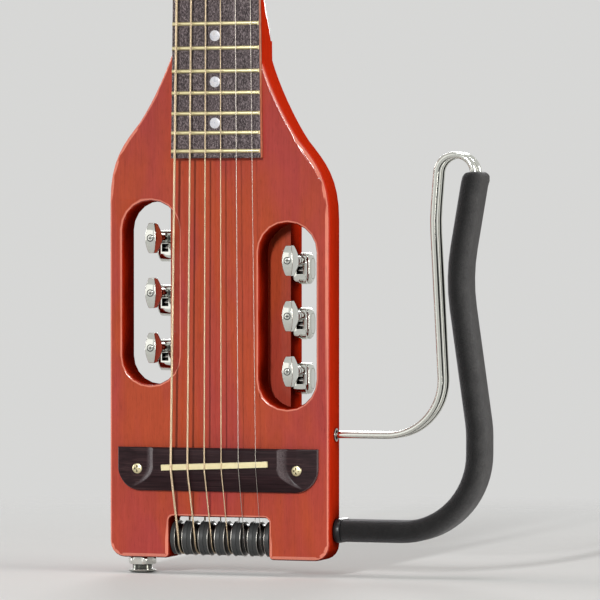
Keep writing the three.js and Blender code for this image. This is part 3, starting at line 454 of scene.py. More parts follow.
def textured(name, texture, stops, rough=(), relief=(), crevice=0, **values):
    """A material that follows one noise, with painted shade that darkens it within reach of a crevice."""
    finish = Finish(name, **values)
    pattern = finish.noise(*texture)
    colour = finish.ramp(pattern, *stops)
    # Painted shade in the hollows, used on the chrome, steel and brass.
    if crevice:
        colour = finish.shaded(colour, crevice, (0.3, 0.12), (0.85, 1))
    return finish.complete(colour, rough and (pattern, *rough), relief and (pattern, *relief))


def metal(name, light, dark, *rough, crevice=0):
    return textured(name, ((900, 900, 900), 5, 0.6), ((0, dark), (1, light)), rough, (0.00002, 0.2), crevice,
                    Metallic=1)


def wound_bronze():
    """Metal with the turns of a winding along Z."""
    finish = Finish("bronze_wound", Metallic=1)
    waves = {"Vector": finish.place, "Scale": pi / 10 / WINDING_PITCH}
    turns = finish.node("TexWave", waves, "Fac", bands_direction="Z")
    tarnish = finish.noise((300, 300, 30), 4, 0.6)
    colour = finish.mix(tarnish, (0.41, 0.32, 0.21), (0.56, 0.45, 0.3))
    return finish.complete(colour, (tarnish, 0.26, 0.4), (turns, 0.00008, 0.6))


def moulded(name, colour, size, depth, *rough):
    bright = tuple(value * 1.6 for value in colour)
    return textured(name, ((size, size, size), 4, 0.6), ((0, colour), (1, bright)), rough, (depth, 0.4),
                    IOR=1.45, Specular_IOR_Level=0.35)


def foam():
    """Grey foam with open cells, with painted light that makes it paler on the side that faces right."""
    finish = Finish("foam", Sheen_Weight=0.35, Sheen_Roughness=0.5, IOR=1.35,
                    Sheen_Tint=(0.75, 0.75, 0.78, 1), Specular_IOR_Level=0.2)
    cells = finish.node("TexVoronoi", {"Vector": finish.place, "Scale": 1500}, "Distance")
    clouds = finish.noise((140, 140, 140), 6, 0.7)
    colour = finish.mix(clouds, (0.016, 0.016, 0.017), (0.07, 0.069, 0.068))
    colour = finish.mix(0.6, colour, finish.ramp(cells, (0.1, 1), (0.6, 0.35)), "MULTIPLY")
    # Painted light: darker on the sides that face left, paler on the side that faces right.
    colour = finish.mix(1, colour, finish.scaled(finish.normal("X"), 0.4, 1.9), "MULTIPLY")
    return finish.complete(colour, (clouds, 0.8, 0.95), (cells, 0.0004, 0.8))


MAPLE = stained_maple()
BOARD = board_rosewood()
BRIDGE = bridge_rosewood()
SHIM = textured("shim_maple", ((1400, 1400, 240), 5, 0.7),
                ((0.34, (0.26, 0.05, 0.018)), (0.55, (0.6, 0.2, 0.1)), (0.7, (0.8, 0.48, 0.34))),
                relief=(0.00005, 0.5), Roughness=0.45)
BONE = textured("bone", ((220, 420, 420), 4, 0.5), ((0, (0.7, 0.6, 0.32)), (1, (0.84, 0.76, 0.46))),
                (0.3, 0.42), (0.00004, 0.3), IOR=1.5, Coat_Weight=0.2, Coat_Roughness=0.15)
PEARL = textured("pearl", ((420, 420, 420), 3, 0.5, 1.6),
                 ((0.3, (0.4, 0.42, 0.48)), (0.55, (0.66, 0.66, 0.7)), (0.7, (0.56, 0.54, 0.54))),
                 (0.24, 0.36), IOR=1.5, Coat_Weight=0.4, Coat_Roughness=0.1)
CHROME = metal("chrome", (0.76, 0.77, 0.72), (0.64, 0.65, 0.6), 0.05, 0.13, crevice=0.003)
STEEL = metal("steel", (0.56, 0.55, 0.52), (0.38, 0.37, 0.35), 0.22, 0.36, crevice=0.002)
NICKEL = metal("nickel", (0.78, 0.71, 0.42), (0.6, 0.53, 0.31), 0.24, 0.38)
BRASS = metal("brass", (0.84, 0.78, 0.52), (0.62, 0.52, 0.3), 0.22, 0.4, crevice=0.0015)
BRONZE = wound_bronze()
PLAIN = metal("plain_string", (0.42, 0.39, 0.35), (0.34, 0.31, 0.28), 0.2, 0.32)
# Near-black steel, used as painted shade in the roller grooves and the housing recesses.
SHADE_BLACK = metal("shade_black_steel", (0.06, 0.058, 0.056), (0.03, 0.03, 0.03), 0.25, 0.4)
DRUM = moulded("black_plastic", (0.03, 0.032, 0.032), 1800, 0.00004, 0.4, 0.55)
RUBBER = moulded("black_rubber", (0.01, 0.01, 0.011), 900, 0.00003, 0.25, 0.4)
FOAM = foam()


# Mesh building


def solid_mesh(name, parts):
    """A mesh of parts, each with its double corners joined and its faces turned outward."""
    mesh = bpy.data.meshes.new(name)
    shape = bmesh.new()
    for number, (points, faces, *rest) in enumerate(parts):
        corners = [shape.verts.new(point) for point in points]
        made = [shape.faces.new([corners[corner] for corner in face]) for face in faces]
        for face in made:
            face.material_index = number
            face.smooth = True
        bmesh.ops.remove_doubles(shape, verts=corners, dist=JOIN_REACH)
        bmesh.ops.recalc_face_normals(shape, faces=[face for face in made if face.is_valid])
    shape.to_mesh(mesh)
    shape.free()
    return mesh


def build(name, parts, nodes=(), body="guitar", sharp=SHARP_ANGLE):
    """One object from parts of (points, faces, material), smooth but for its sharp edges."""
    mesh = solid_mesh(name, parts)
    for points, faces, material in parts:
        mesh.materials.append(material)
    mesh.set_sharp_from_angle(angle=radians(sharp))
    piece = link(name, mesh)
    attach(piece, body)
    if nodes:
        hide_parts(*nodes)
    return piece


def paint(piece, part, material, test):
    """Gives a second material to the faces of one part whose middle and normal pass a test."""
    mesh = piece.data
    mesh.materials.append(material)
    for face in mesh.polygons:
        if face.material_index == part and test(face.center, face.normal):
            face.material_index = len(mesh.materials) - 1


def bevel(piece, width, angle):
    modifier = piece.modifiers.new("bevel", "BEVEL")
    modifier.width = width
    modifier.segments = 2
    modifier.limit_method = "ANGLE"
    modifier.angle_limit = radians(angle)


def weigh(piece):
    modifier = piece.modifiers.new("weighted", "WEIGHTED_NORMAL")
    modifier.keep_sharp = True


def placed(shift, *parts, mirror=False):
    """Parts of (shape, material), moved, and mirrored first where that is asked for."""
    sign = -1 if mirror else 1
    return [([Vector((point.x * sign, point.y, point.z)) + shift for point in points], faces, material)
            for (points, faces), material in parts]


def lathe(profile, origin=(0, 0, 0), axis=(0, 1, 0), sides=40):
    """A profile of (radius, way along the axis), turned about an axis through the origin."""
    axis = Vector(axis)
    side = axis.orthogonal().normalized()
    other = axis.cross(side)
    points = []
    rings = []
    for radius, along in profile:
        centre = Vector(origin) + axis * along
        if radius == 0:
            rings.append([len(points)] * sides)
            points.append(centre)
            continue
        rings.append(list(range(len(points), len(points) + sides)))
        points += [centre + (side * a + other * b) * radius for a, b in circle(1, sides)]
    return points, ring_faces(rings)


def ring_faces(rings):
    faces = []
    for first, second in zip(rings, rings[1:]):
        for step in range(len(first)):
            following = (step + 1) % len(first)
            corners = [first[step], first[following], second[following], second[step]]
            face = [corner for index, corner in enumerate(corners) if corner not in corners[:index]]
            if len(face) > 2:
                faces.append(face)
    return faces


def loft(rings, caps=True):
    count = len(rings[0])
    points = [point for ring in rings for point in ring]
    numbers = [list(range(index * count, (index + 1) * count)) for index in range(len(rings))]
    faces = ring_faces(numbers)
    if caps:
        faces += [numbers[0][::-1], numbers[-1]]
    return points, faces


def sweep(route, section, first_side, sizes=None):
    """A section carried along a route. sizes holds an inset of the section for each point."""
    side = Vector(first_side)
    rings = []
    for index, here in enumerate(route):
        before = route[max(index - 1, 0)]
        after = route[min(index + 1, len(route) - 1)]
        tangent = (after - before).normalized()
        side = (side - tangent * side.dot(tangent)).normalized()
        other = tangent.cross(side)
        outline = section(sizes[index]) if sizes else section
        rings.append([here + side * a + other * b for a, b in outline])
    return loft(rings)


def arc(start, turn, steps):
    """The cosine and sine of each angle on a turn from the start, in equal steps."""
    angles = [start + turn * step / steps for step in range(steps + 1)]
    return [(cos(angle), sin(angle)) for angle in angles]


def circle(radius, sides):
    return [(radius * a, radius * b) for a, b in arc(0, 2 * pi, sides)[:-1]]


def rounded_box(left, low, right, high, radius, steps=4, top_radius=None):
    """The corners of a box in two axes, rounded, counted from the lower left one."""
    top = top_radius or radius
    outline = []
    for centre_x, centre_y, size, start in (
        (left + radius, low + radius, radius, pi), (right - radius, low + radius, radius, 1.5 * pi),
        (right - top, high - top, top, 0), (left + top, high - top, top, pi / 2),
    ):
        outline += [(centre_x + size * a, centre_y + size * b) for a, b in arc(start, pi / 2, steps)]
    return outline


def rounded_route(corners, turn_step=radians(5)):
    """The line through corners of (point, radius), with each turn an arc."""
    points = []
    for index, (at, radius) in enumerate(corners):
        if index in (0, len(corners) - 1):
            points.append(at.copy())
            continue
        inward = (corners[index - 1][0] - at).normalized()
        outward = (corners[index + 1][0] - at).normalized()
        turn = pi - inward.angle(outward)
        centre = at + (inward + outward).normalized() * (radius / cos(turn / 2))
        reach = radius * tan(turn / 2)
        start = at + inward * reach - centre
        end = at + outward * reach - centre
        steps = max(2, ceil(turn / turn_step))
        for step in range(steps + 1):
            part = step / steps
            points.append(centre + (start * sin((1 - part) * turn) + end * sin(part * turn)) / sin(turn))
    return points


def carved(part, *tools):
    """A part with the tools cut out of it."""
    base, *cutters = objects = [link("cut", solid_mesh("cut", [solid])) for solid in (part, *tools)]
    for tool in cutters:
        modifier = base.modifiers.new("cut", "BOOLEAN")
        modifier.operation = "DIFFERENCE"
        modifier.solver = "EXACT"
        modifier.object = tool
    bpy.context.view_layer.update()
    result = base.evaluated_get(bpy.context.evaluated_depsgraph_get())
    cut = result.to_mesh()
    points = [vertex.co.copy() for vertex in cut.vertices]
    faces = [list(face.vertices) for face in cut.polygons]
    result.to_mesh_clear()
    for item in objects:
        bpy.data.objects.remove(item)
    return points, faces


def standing(x, outline):
    return [Vector((x, depth, height)) for depth, height in outline]


def box_part(low, high):
    corners = ((low[0], low[1]), (high[0], low[1]), (high[0], high[1]), (low[0], high[1]))
    return loft([[Vector((x, y, z)) for x, y in corners] for z in (low[2], high[2])])


def cross_head(radius, crown, rim, depth):
    """A domed screw head that faces the front, with a cross recess, its rim's back at depth 0."""
    dome = [(radius * a, rim + crown * b) for a, b in arc(0, pi / 2, 6)[1:-1]]
    head = lathe([(0, 0), (radius, 0), (radius, rim), *dome, (0, rim + crown)], (0, 0, 0), (0, -1, 0), 32)
    arm = radius * CROSS_REACH
    wide = radius * CROSS_WIDTH
    top = -rim - crown - CROSS_LEAD
    bottom = top + depth + CROSS_LEAD
    return carved(head, box_part((-arm, top, -wide), (arm, bottom, wide)),
                  box_part((-wide, top, -arm), (wide, bottom, arm)))


# Carried-over nodes: welded and smoothed by modifiers, with the finer materials


def dress(node, material, width=0):
    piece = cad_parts[node]
    mesh = piece.data
    mesh.materials.clear()
    mesh.materials.append(material)
    mesh.normals_split_custom_set([(0, 0, 0)] * len(mesh.loops))
    mesh.polygons.foreach_set("use_smooth", [True] * len(mesh.polygons))
    weld = piece.modifiers.new("weld", "WELD")
    weld.merge_threshold = WELD_REACH
    if width:
        bevel(piece, width, 50)
    split = piece.modifiers.new("split", "EDGE_SPLIT")
    split.split_angle = radians(SHARP_ANGLE)
    split.use_edge_sharp = False
    weigh(piece)


def dress_nodes():
    dress("body_and_neck", MAPLE)
    dress("tuner_spine", MAPLE)
    dress("nut", BONE, NUT_BEVEL)
    dress("saddle", BONE, SADDLE_BEVEL)
    dress("pickup_strip", BRASS)
    for node in ("string_anchor", "truss_rod", "roller_axle", "anchor_screw_left", "anchor_screw_right"):
        dress(node, STEEL)
    for name in TUNER_NAMES:
        dress(f"tuner_post_{name}", STEEL)


# Fingerboard


def fret_place(fret):
    return SCALE_LENGTH * 2 ** (-fret / 12)


def half_neck(height):
    return (NUT_WIDTH + (SCALE_LENGTH - height) * WIDTH_GROWTH) / 2


def camber(x):
    return x * x / (2 * CAMBER_RADIUS)


def board_ring(height):
    """The rosewood layer across the neck, its top curved from side to side."""
    half = half_neck(height)
    steps = 12
    ring = [place(half, -BOARD_SEAM, height), place(-half, -BOARD_SEAM, height)]
    for step in range(steps + 1):
        x = half * (2 * step / steps - 1)
        ring.append(place(x, -BOARD_THICKNESS + camber(x), height))
    return ring


def shim_ring(height):
    half = half_neck(height)
    corners = ((half, -GAP), (-half, -GAP), (-half, -BOARD_SEAM), (half, -BOARD_SEAM))
    return [place(x, depth, height) for x, depth in corners]


def add_fingerboard():
    start = fret_place(FRET_COUNT) - BOARD_OVERHANG
    end = SCALE_LENGTH - GAP
    steps = 40
    heights = [start + (end - start) * step / steps for step in range(steps + 1)]
    top = loft([board_ring(height) for height in heights])
    shim = loft([shim_ring(height) for height in heights])
    board = build("fingerboard_wood", [(*top, BOARD), (*shim, SHIM)], ["fingerboard"])
    bevel(board, BOARD_BEVEL, 40)
    weigh(board)
    frets = [(*fret(number), NICKEL) for number in range(1, FRET_COUNT + 1)]
    build("fret_wires", frets)
    dots = [(*dot(x, height), PEARL) for x, height in dot_places()]
    build("position_dots", dots)


def fret(number):
    """A half-round wire across the board, its ends sloping in at the edges."""
    height = fret_place(number)
    half = half_neck(height)
    steps = 10
    rings = []
    for step in range(steps + 1):
        part = 2 * step / steps - 1
        ring = []
        for a, b in arc(0, pi, 8):
            x = part * (half - FRET_LEAN * b ** 2 * abs(part))
            depth = camber(x) - BOARD_THICKNESS - FRET_HEIGHT * b
            ring.append(place(x, depth, height + FRET_WIDTH / 2 * a))
        rings.append(ring)
    return loft(rings)


def dot_places():
    places = [(0, (fret_place(number) + fret_place(number - 1)) / 2) for number in DOT_FRETS]
    height = (fret_place(DOUBLE_DOT_FRET) + fret_place(DOUBLE_DOT_FRET - 1)) / 2
    return places + [(side * DOUBLE_DOT_SPREAD, height) for side in (-1, 1)]


def dot(x, height):
    profile = [(0, -GAP), (DOT_RADIUS, -GAP), (DOT_RADIUS, DOT_LIFT / 2), (DOT_RADIUS * 0.97, DOT_LIFT),
               (0, DOT_LIFT)]
    return lathe(profile, place(x, -BOARD_THICKNESS + camber(x), height), (0, -1, 0), 40)


# Bridge and slot ledges


def lower(first, second, blend):
    """The lower of two heights, with a soft change from one to the other."""
    return (first + second - hypot(first - second, blend)) / 2


def bridge_crown(x, z):
    """The height across the bridge: a raised centre that spreads at the tail, coves, and wings."""
    centre = BRIDGE_CENTRE + COVE_SPREAD * max(0, COVE_BEND - z) ** 2
    share = max(0, abs(x) - WING_BREAK) / (BRIDGE_HALF - WING_BREAK)
    wing = WING_HEIGHT - (WING_HEIGHT - WING_TIP_HEIGHT) * share
    climb = 1 - min(1, max(0, abs(x) - centre) / COVE_LENGTH)
    return wing + (BRIDGE_HEIGHT - wing) * climb ** 2.2


def bridge_tail(x):
    out = max(0, abs(x) - BRIDGE_HALF + BRIDGE_CORNER)
    return BRIDGE_CORNER - BRIDGE_BOTTOM - sqrt(max(0, BRIDGE_CORNER ** 2 - out ** 2))


def bridge_height(x, z, rim):
    slope = (BRIDGE_HEIGHT - BRIDGE_TAIL_HEIGHT) / (BRIDGE_BOTTOM - BRIDGE_BREAK)
    tail = BRIDGE_HEIGHT + (z + BRIDGE_BREAK) * slope
    front_slope = (BRIDGE_HEIGHT - BRIDGE_FRONT_HEIGHT) / BRIDGE_FRONT_LENGTH
    front = BRIDGE_FRONT_HEIGHT + (BRIDGE_TOP - z) * front_slope
    height = lower(lower(bridge_crown(x, z), tail, BRIDGE_BLEND), front, BRIDGE_BLEND)
    share = 1 - min(rim, BRIDGE_ROUND) / BRIDGE_ROUND
    return height - BRIDGE_ROUND * (1 - sqrt(1 - share ** 2))


def bridge_stations():
    step = 0.0004
    count = ceil((BRIDGE_HALF - BRIDGE_CENTRE) / step)
    half = [0, BRIDGE_CENTRE / 2, BRIDGE_CENTRE * 0.98]
    half += [BRIDGE_CENTRE + (BRIDGE_HALF - BRIDGE_CENTRE) * b for a, b in arc(0, pi / 2, count)]
    half += [BRIDGE_HALF - BRIDGE_ROUND * share for share in (0.7, 0.4, 0.15)]
    half.sort()
    return [-x for x in half[:0:-1]] + half


def bridge_shape():
    rings = []
    edge = (0, 0.1, 0.3, 0.6, 1)
    rows = 56
    for x in bridge_stations():
        low = bridge_tail(x)
        shares = [BRIDGE_ROUND * share for share in edge]
        inner = BRIDGE_TOP - low - 2 * BRIDGE_ROUND
        along = shares[:-1] + [BRIDGE_ROUND + inner * row / rows for row in range(rows + 1)]
        along += [BRIDGE_TOP - low - share for share in shares[-2::-1]]
        ring = [place(x, -GAP, low), place(x, -GAP, BRIDGE_TOP)]
        for part in along[::-1]:
            rim = min(part, BRIDGE_TOP - low - part, BRIDGE_HALF - abs(x))
            ring.append(place(x, -bridge_height(x, low + part, rim), low + part))
        rings.append(ring)
    return loft(rings)


def slanted_slot(low, high, gap):
    """The hole for the saddle: a box that follows the saddle's slant."""
    half = half_width("saddle") / cos(SADDLE_SLANT)
    along = Vector((cos(SADDLE_SLANT), 0, sin(SADDLE_SLANT)))
    aside = Vector((-sin(SADDLE_SLANT), 0, cos(SADDLE_SLANT)))
    rings = []
    for depth in (low, high):
        centre = place(0, depth, -SADDLE_SETBACK)
        rings.append([centre + along * (half + gap) * a + aside * (SADDLE_THICKNESS / 2 + gap) * b
                      for a, b in ((-1, -1), (1, -1), (1, 1), (-1, 1))])
    return loft(rings)


def add_bridge():
    reach = 2 * BRIDGE_HEIGHT
    tools = [slanted_slot(-reach, BRIDGE_HEIGHT, GAP / 2)]
    for side in ("left", "right"):
        radius = half_width(f"bridge_screw_{side}") + GAP / 2
        centre = middle(f"bridge_screw_{side}")
        tools.append(lathe([(0, -reach), (radius, -reach), (radius, reach), (0, reach)],
                           (centre.x, FRONT, centre.z)))
    bridge = carved(bridge_shape(), *tools)
    build("carved_bridge", [(*bridge, BRIDGE)], ["bridge"], sharp=40)


def add_ledges():
    """The thin floor that each slot has beside the string channel."""
    parts = []
    for side in (-1, 1):
        near, far = sorted((side * LEDGE_IN, side * CHANNEL_HALF))
        low = place(near, LEDGE_FRONT, LEDGE_START)
        high = place(far, LEDGE_FRONT + LEDGE_THICKNESS, LEDGE_END)
        parts.append((*box_part(low, high), MAPLE))
    build("slot_ledges", parts)


# Strings and rollers


def across(index):
    return index / (STRING_COUNT - 1) - 0.5


def string_post(index):
    side = -1 if index < TUNERS_PER_SIDE else 1
    rank = index if side < 0 else STRING_COUNT - 1 - index
    first = FIRST_TUNER if side < 0 else FIRST_TUNER - TUNER_STAGGER
    wall = CHANNEL_HALF - POST_RADIUS
    x = side * (wall - (wall - POST_REACH - POST_RADIUS) * rank / (TUNERS_PER_SIDE - 1))
    return side, x, first - (TUNERS_PER_SIDE - 1 - rank) * TUNER_PITCH - POST_OFFSET


def string_route(index):
    gauge = BASS_GAUGE * GAUGE_SHARES[index]
    radius = gauge / 2
    nut_x = across(index) * SPREAD_AT_NUT
    saddle_x = across(index) * SPREAD_AT_SADDLE
    nut_up = BOARD_THICKNESS + FRET_HEIGHT + STRING_LIFT + radius - camber(nut_x)
    saddle_up = SADDLE_TOP + radius - camber(saddle_x) + GAP / 2
    saddle_z = -SADDLE_SETBACK + saddle_x * tan(SADDLE_SLANT)
    points = [
        place(nut_x, -ANCHOR_HEIGHT / 2, ANCHOR_END + BALL_LENGTH / 2),
        place(nut_x, -ANCHOR_HEIGHT / 2, ANCHOR_START),
        place(nut_x, -nut_up, SCALE_LENGTH + NUT_THICKNESS),
        place(nut_x, -nut_up, SCALE_LENGTH),
        place(saddle_x, -saddle_up, saddle_z + SADDLE_THICKNESS / 2),
        place(saddle_x, -saddle_up, saddle_z - SADDLE_THICKNESS / 2),
    ]
    roller_x = across(index) * ROLLER_PITCH * (STRING_COUNT - 1)
    wrap = GROOVE_RADIUS + radius + GAP / 3
    points += [place(roller_x, ROLLER_DEPTH - wrap * a, -ROLLER_DROP - wrap * b)
               for a, b in arc(0, pi, 24)]
    side, post_x, post_z = string_post(index)
    wind = POST_RADIUS + radius
    pitch = gauge + GAP / 3
    turns = 20
    for step, (a, b) in enumerate(arc(0, 2 * pi * WIND_TURNS, round(WIND_TURNS * turns))):
        x = post_x - side * pitch * (WIND_TURNS - step / turns)
        points.append(place(x, POST_DEPTH - wind * a, post_z + wind * b))
    return points, radius, nut_x


def add_strings():
    rim = BALL_RADIUS * 0.8
    edge = BALL_RADIUS - rim
    ball = [(0, 0), (rim, 0), (BALL_RADIUS, edge), (BALL_RADIUS, BALL_LENGTH - edge), (rim, BALL_LENGTH),
            (0, BALL_LENGTH)]
    for index in range(STRING_COUNT):
        points, radius, nut_x = string_route(index)
        name = STRING_COUNT - index
        is_wound = index < WOUND_COUNT
        wire = sweep(points, circle(radius, 10), (1, 0, 0))
        end = lathe(ball, place(nut_x, -ANCHOR_HEIGHT / 2, ANCHOR_END + GAP), (0, 0, 1), 20)
        build(f"guitar_string_{name}", [(*wire, BRONZE if is_wound else PLAIN), (*end, BRASS)],
              [f"string_{name}"], sharp=50)


def add_rollers():
    """Drums of black plastic, each with a steel flange on either side of its groove, which is coloured
    near-black as painted shade.
    """
    bore = AXLE_RADIUS + GAP / 3
    half = (ROLLER_PITCH - GAP / 2) / 2
    lip = GROOVE_HALF + FLANGE_THICKNESS
    edge = ROLLER_EDGE
    drum = [
        (bore, half), (DRUM_RADIUS - edge, half), (DRUM_RADIUS - edge * 0.3, half - edge * 0.3),
        (DRUM_RADIUS, half - edge), (DRUM_RADIUS, lip), (bore, lip), (bore, half),
    ]
    flange = [
        (bore, lip), (FLANGE_RADIUS - edge, lip), (FLANGE_RADIUS, lip - edge),
        (FLANGE_RADIUS, GROOVE_HALF + edge), (FLANGE_RADIUS - edge, GROOVE_HALF), (bore, GROOVE_HALF),
        (bore, lip),
    ]
    rim = FLANGE_RADIUS - GROOVE_RIM
    well = [(GROOVE_RADIUS + (1 - b) * GROOVE_FLARE, -a * GROOVE_HALF * 0.8) for a, b in arc(0, pi, 8)]
    groove = [(bore, -GROOVE_HALF), (rim, -GROOVE_HALF), *well, (rim, GROOVE_HALF), (bore, GROOVE_HALF),
              (bore, -GROOVE_HALF)]
    for name in range(STRING_COUNT, 0, -1):
        centre = middle(f"roller_{name}")
        parts = []
        for side in (-1, 1):
            for profile, material in ((drum, DRUM), (flange, STEEL)):
                sided = [(radius, side * along) for radius, along in profile]
                parts.append((*lathe(sided, centre, (1, 0, 0), 56), material))
        # The groove is near-black steel: painted shade in place of the dark reflections of its metal.
        parts.append((*lathe(groove, centre, (1, 0, 0), 56), SHADE_BLACK))
        build(f"string_roller_{name}", parts, [f"roller_{name}"], f"roller_body_{name}")


# Tuners


def knob_shape():
    """A button, thinner at its ends, with a crowned front and a back that tapers to the ends."""
    count = 26
    soft = KNOB_ROUND * 0.6
    inner = KNOB_TALL - soft

    def section(height, inset, at):
        share = (height / KNOB_TALL) ** 2
        half = KNOB_HALF - (KNOB_HALF - KNOB_TIP) * share - inset
        front = KNOB_CROWN * share + inset
        taper = max(0, abs(height) - KNOB_BACK_HALF) / (KNOB_TALL - KNOB_BACK_HALF)
        back = KNOB_BACK - (KNOB_BACK - KNOB_SIDE) * taper
        outline = rounded_box(-half, front, half, back - inset, KNOB_ROUND)
        return [Vector((x, depth, at)) for x, depth in outline]

    heights = [inner * (2 * step / count - 1) for step in range(count + 1)]
    return loft([section(-inner, soft, -KNOB_TALL), *(section(height, 0, height) for height in heights),
                 section(inner, soft, KNOB_TALL)])


def worm_shape():
    """The knob's shaft, with a thread where it meets the wheel."""
    root = KNOB_BACK - WORM_ROOT
    start = HOUSING_FRONT + WORM_START
    end = HOUSING_FRONT + HOUSING_DEPTH - WORM_STOP
    crest = SHAFT_RADIUS + WORM_CREST
    profile = [(0, root), (SHAFT_RADIUS, root), (SHAFT_RADIUS, start)]
    for turn in range(WORM_TURNS):
        along = start + WORM_PITCH * turn
        profile += [(SHAFT_RADIUS, along + 0.0002), (crest, along + 0.0005), (crest, along + 0.0008),
                    (SHAFT_RADIUS, along + 0.0011)]
    profile += [(SHAFT_RADIUS, end), (0, end)]
    return lathe(profile, sides=20)


def housing_shape(inner):
    """The housing: a round foot, smaller round corners at the top, and a recess in its front."""
    edge = HOUSING_EDGE
    back = HOUSING_FRONT + HOUSING_DEPTH
    rings = []
    for x, inset in ((inner, 0), (HOUSING_OUT - edge, 0), (HOUSING_OUT - edge * 0.3, edge * 0.3),
                     (HOUSING_OUT, edge)):
        outline = rounded_box(HOUSING_FRONT + inset, HOUSING_LOW + inset, back - inset, HOUSING_TOP - inset,
                              HOUSING_FOOT, 8, HOUSING_CORNER)
        rings.append(standing(x, outline))
    recess = box_part((RECESS_IN, HOUSING_FRONT - RECESS_LEAD, -RECESS_DROP - RECESS_TALL),
                      (RECESS_OUT, HOUSING_FRONT + RECESS_DEEP, -RECESS_DROP))
    return carved(loft(rings), recess)


def cover_shape():
    """The oval dome over the gear, with a thin groove round its crown."""
    low = HOUSING_LOW + GAP
    high = HOUSING_TOP - GAP
    near = HOUSING_FRONT + GAP
    far = HOUSING_FRONT + HOUSING_DEPTH - GAP
    radius = HOUSING_DEPTH / 2 - GAP - COVER_FLAT
    groove = COVER_GROOVE
    rings = []
    for level, inset in (
        (-0.1, 0), (0.25, 0.0001), (0.5, 0.0004), (0.75, 0.001), (0.92, 0.0017), (1, groove),
        (0.9, groove + 0.0001), (0.9, groove + 0.0003), (1, groove + 0.0004), (1.02, groove + 0.0012),
    ):
        outline = rounded_box(near + inset, low + inset, far - inset, high - inset, radius - inset, 10)
        rings.append(standing(HOUSING_OUT + COVER_BULGE * level, outline))
    return loft(rings)


def collar_shape(centre):
    """The sleeve round the shaft in front of the housing, with a ring turned into it."""
    start = HOUSING_FRONT - COLLAR_REACH
    end = HOUSING_FRONT + COLLAR_SINK
    bore = SHAFT_RADIUS + SHAFT_PLAY
    outer = COLLAR_RADIUS
    waist = COLLAR_WAIST
    return lathe([
        (bore, start), (outer - 0.0005, start), (outer, start + 0.0005), (outer, start + 0.0028),
        (waist, start + 0.0031), (waist, start + 0.0036), (outer, start + 0.0039), (outer, end),
        (bore, end), (bore, start),
    ], (centre, 0, 0), sides=32)


def add_tuners():
    knob = knob_shape()
    worm = worm_shape()
    screw = cross_head(KNOB_SCREW, 0.00008, 0.0001, 0.0004)
    rise = SOCKET_RISE
    # A thin black rubber disc round the knob's screw: painted shade for the gap round the screw.
    socket = lathe([(0, rise), (SOCKET_RADIUS, rise), (SOCKET_RADIUS, -rise), (0, -rise)],
                   (0, 0, 0), (0, -1, 0), 32)
    small_screw = cross_head(RECESS_SCREW, 0.0002, 0.0002, 0.0005)
    knob_x = middle("tuner_knob_right_1").x
    housing = housing_shape(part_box("tuner_spine")[1].x + GAP)
    cover = cover_shape()
    collar = collar_shape(knob_x)
    for name in TUNER_NAMES:
        mirror = name.startswith("left")
        sign = -1 if mirror else 1
        height = middle(f"tuner_knob_{name}").z - SADDLE_LINE
        base = place(0, 0, height)
        at_knob = place(sign * knob_x, 0, height)
        parts = placed(at_knob, (knob, CHROME), (worm, STEEL), (socket, RUBBER), (screw, CHROME))
        piece = build(f"knob_{name}", parts, [f"tuner_knob_{name}"], f"knob_{name}")
        paint_cross_shade(piece, at_knob, KNOB_SCREW)
        at_small = place(sign * (RECESS_IN + RECESS_OUT) / 2, HOUSING_FRONT + RECESS_DEEP,
                         height - RECESS_DROP - RECESS_TALL / 2)
        parts = placed(base, (housing, CHROME), (collar, CHROME), mirror=mirror)
        parts += placed(at_small, (small_screw, STEEL))
        casing = build(f"gear_housing_{name}", parts, [f"tuner_housing_{name}"])
        paint_recess_shade(casing, at_small)
        parts = placed(base, (cover, CHROME), mirror=mirror)
        build(f"gear_cover_{name}", parts, [f"tuner_cover_{name}"])


def paint_recess_shade(piece, centre):
    """Paints shade on the walls and the floor of a housing's recess, but not on the screw in it."""
    half = (RECESS_OUT - RECESS_IN + GAP) / 2
    tall = (RECESS_TALL + GAP) / 2

    def in_shade(at, normal):
        inside = abs(at.x - centre.x) < half and abs(at.z - centre.z) < tall
        deep = centre.y - RECESS_DEEP * 0.9 < at.y < centre.y + PAINT_REACH
        return inside and deep and (abs(normal.y) < 0.5 or abs(at.y - centre.y) < PAINT_REACH)

    paint(piece, HOUSING_PART, SHADE_BLACK, in_shade)


def paint_cross_shade(piece, centre, radius):
    """Paints shade on the walls and the bottom of the cross in a knob's screw."""

    def in_shade(at, normal):
        away = hypot(at.x - centre.x, at.z - centre.z)
        return away < radius * 0.64 and at.y > centre.y - CROSS_RIM and normal.y < 0.5

    paint(piece, SCREW_PART, RUBBER, in_shade)


# Lap rest


def rest_route(depth, start, end):
    """The rod's line at one depth, from its bore over the hook and down to the foot's end."""
    corners = [(place(HALF_BODY + REST_REACH * share, depth, height), radius)
               for share, height, radius in REST_CORNERS]
    return rounded_route([(place(start, depth, ROD_HEIGHT), 0), *corners, (place(end, depth, -REST_DROP), 0)])


def add_rest_rod():
    """One rod: the front leg, a half turn under the foot, and the rear leg back into the body."""
    turn = ROD_PITCH / 2
    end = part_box("lap_rest_foot")[1].x + 2 * GAP + ROD_RADIUS + turn
    front = rest_route(ROD_FRONT_DEPTH, HALF_BODY - ROD_INSERTION + GAP, end)
    rear = rest_route(ROD_FRONT_DEPTH + ROD_PITCH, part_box("lap_rest_rod")[0].x, end)[::-1]
    rear[-1].x = CHANNEL_HALF + REAR_LEG_START
    bend = [place(end - turn * b, ROD_FRONT_DEPTH + turn - turn * a, -REST_DROP)
            for a, b in arc(0, pi, 12)[1:-1]]
    rod = sweep(front + bend + rear, circle(ROD_RADIUS, 20), (0, 1, 0))
    build("rest_rod", [(*rod, CHROME)], ["lap_rest_rod"], "lap_rest", sharp=60)


def stadium(inset):
    deep = SLEEVE_DEEP - inset
    half = SLEEVE_HALF - inset
    return rounded_box(-deep, -half, deep, half, half * 0.96, 7)


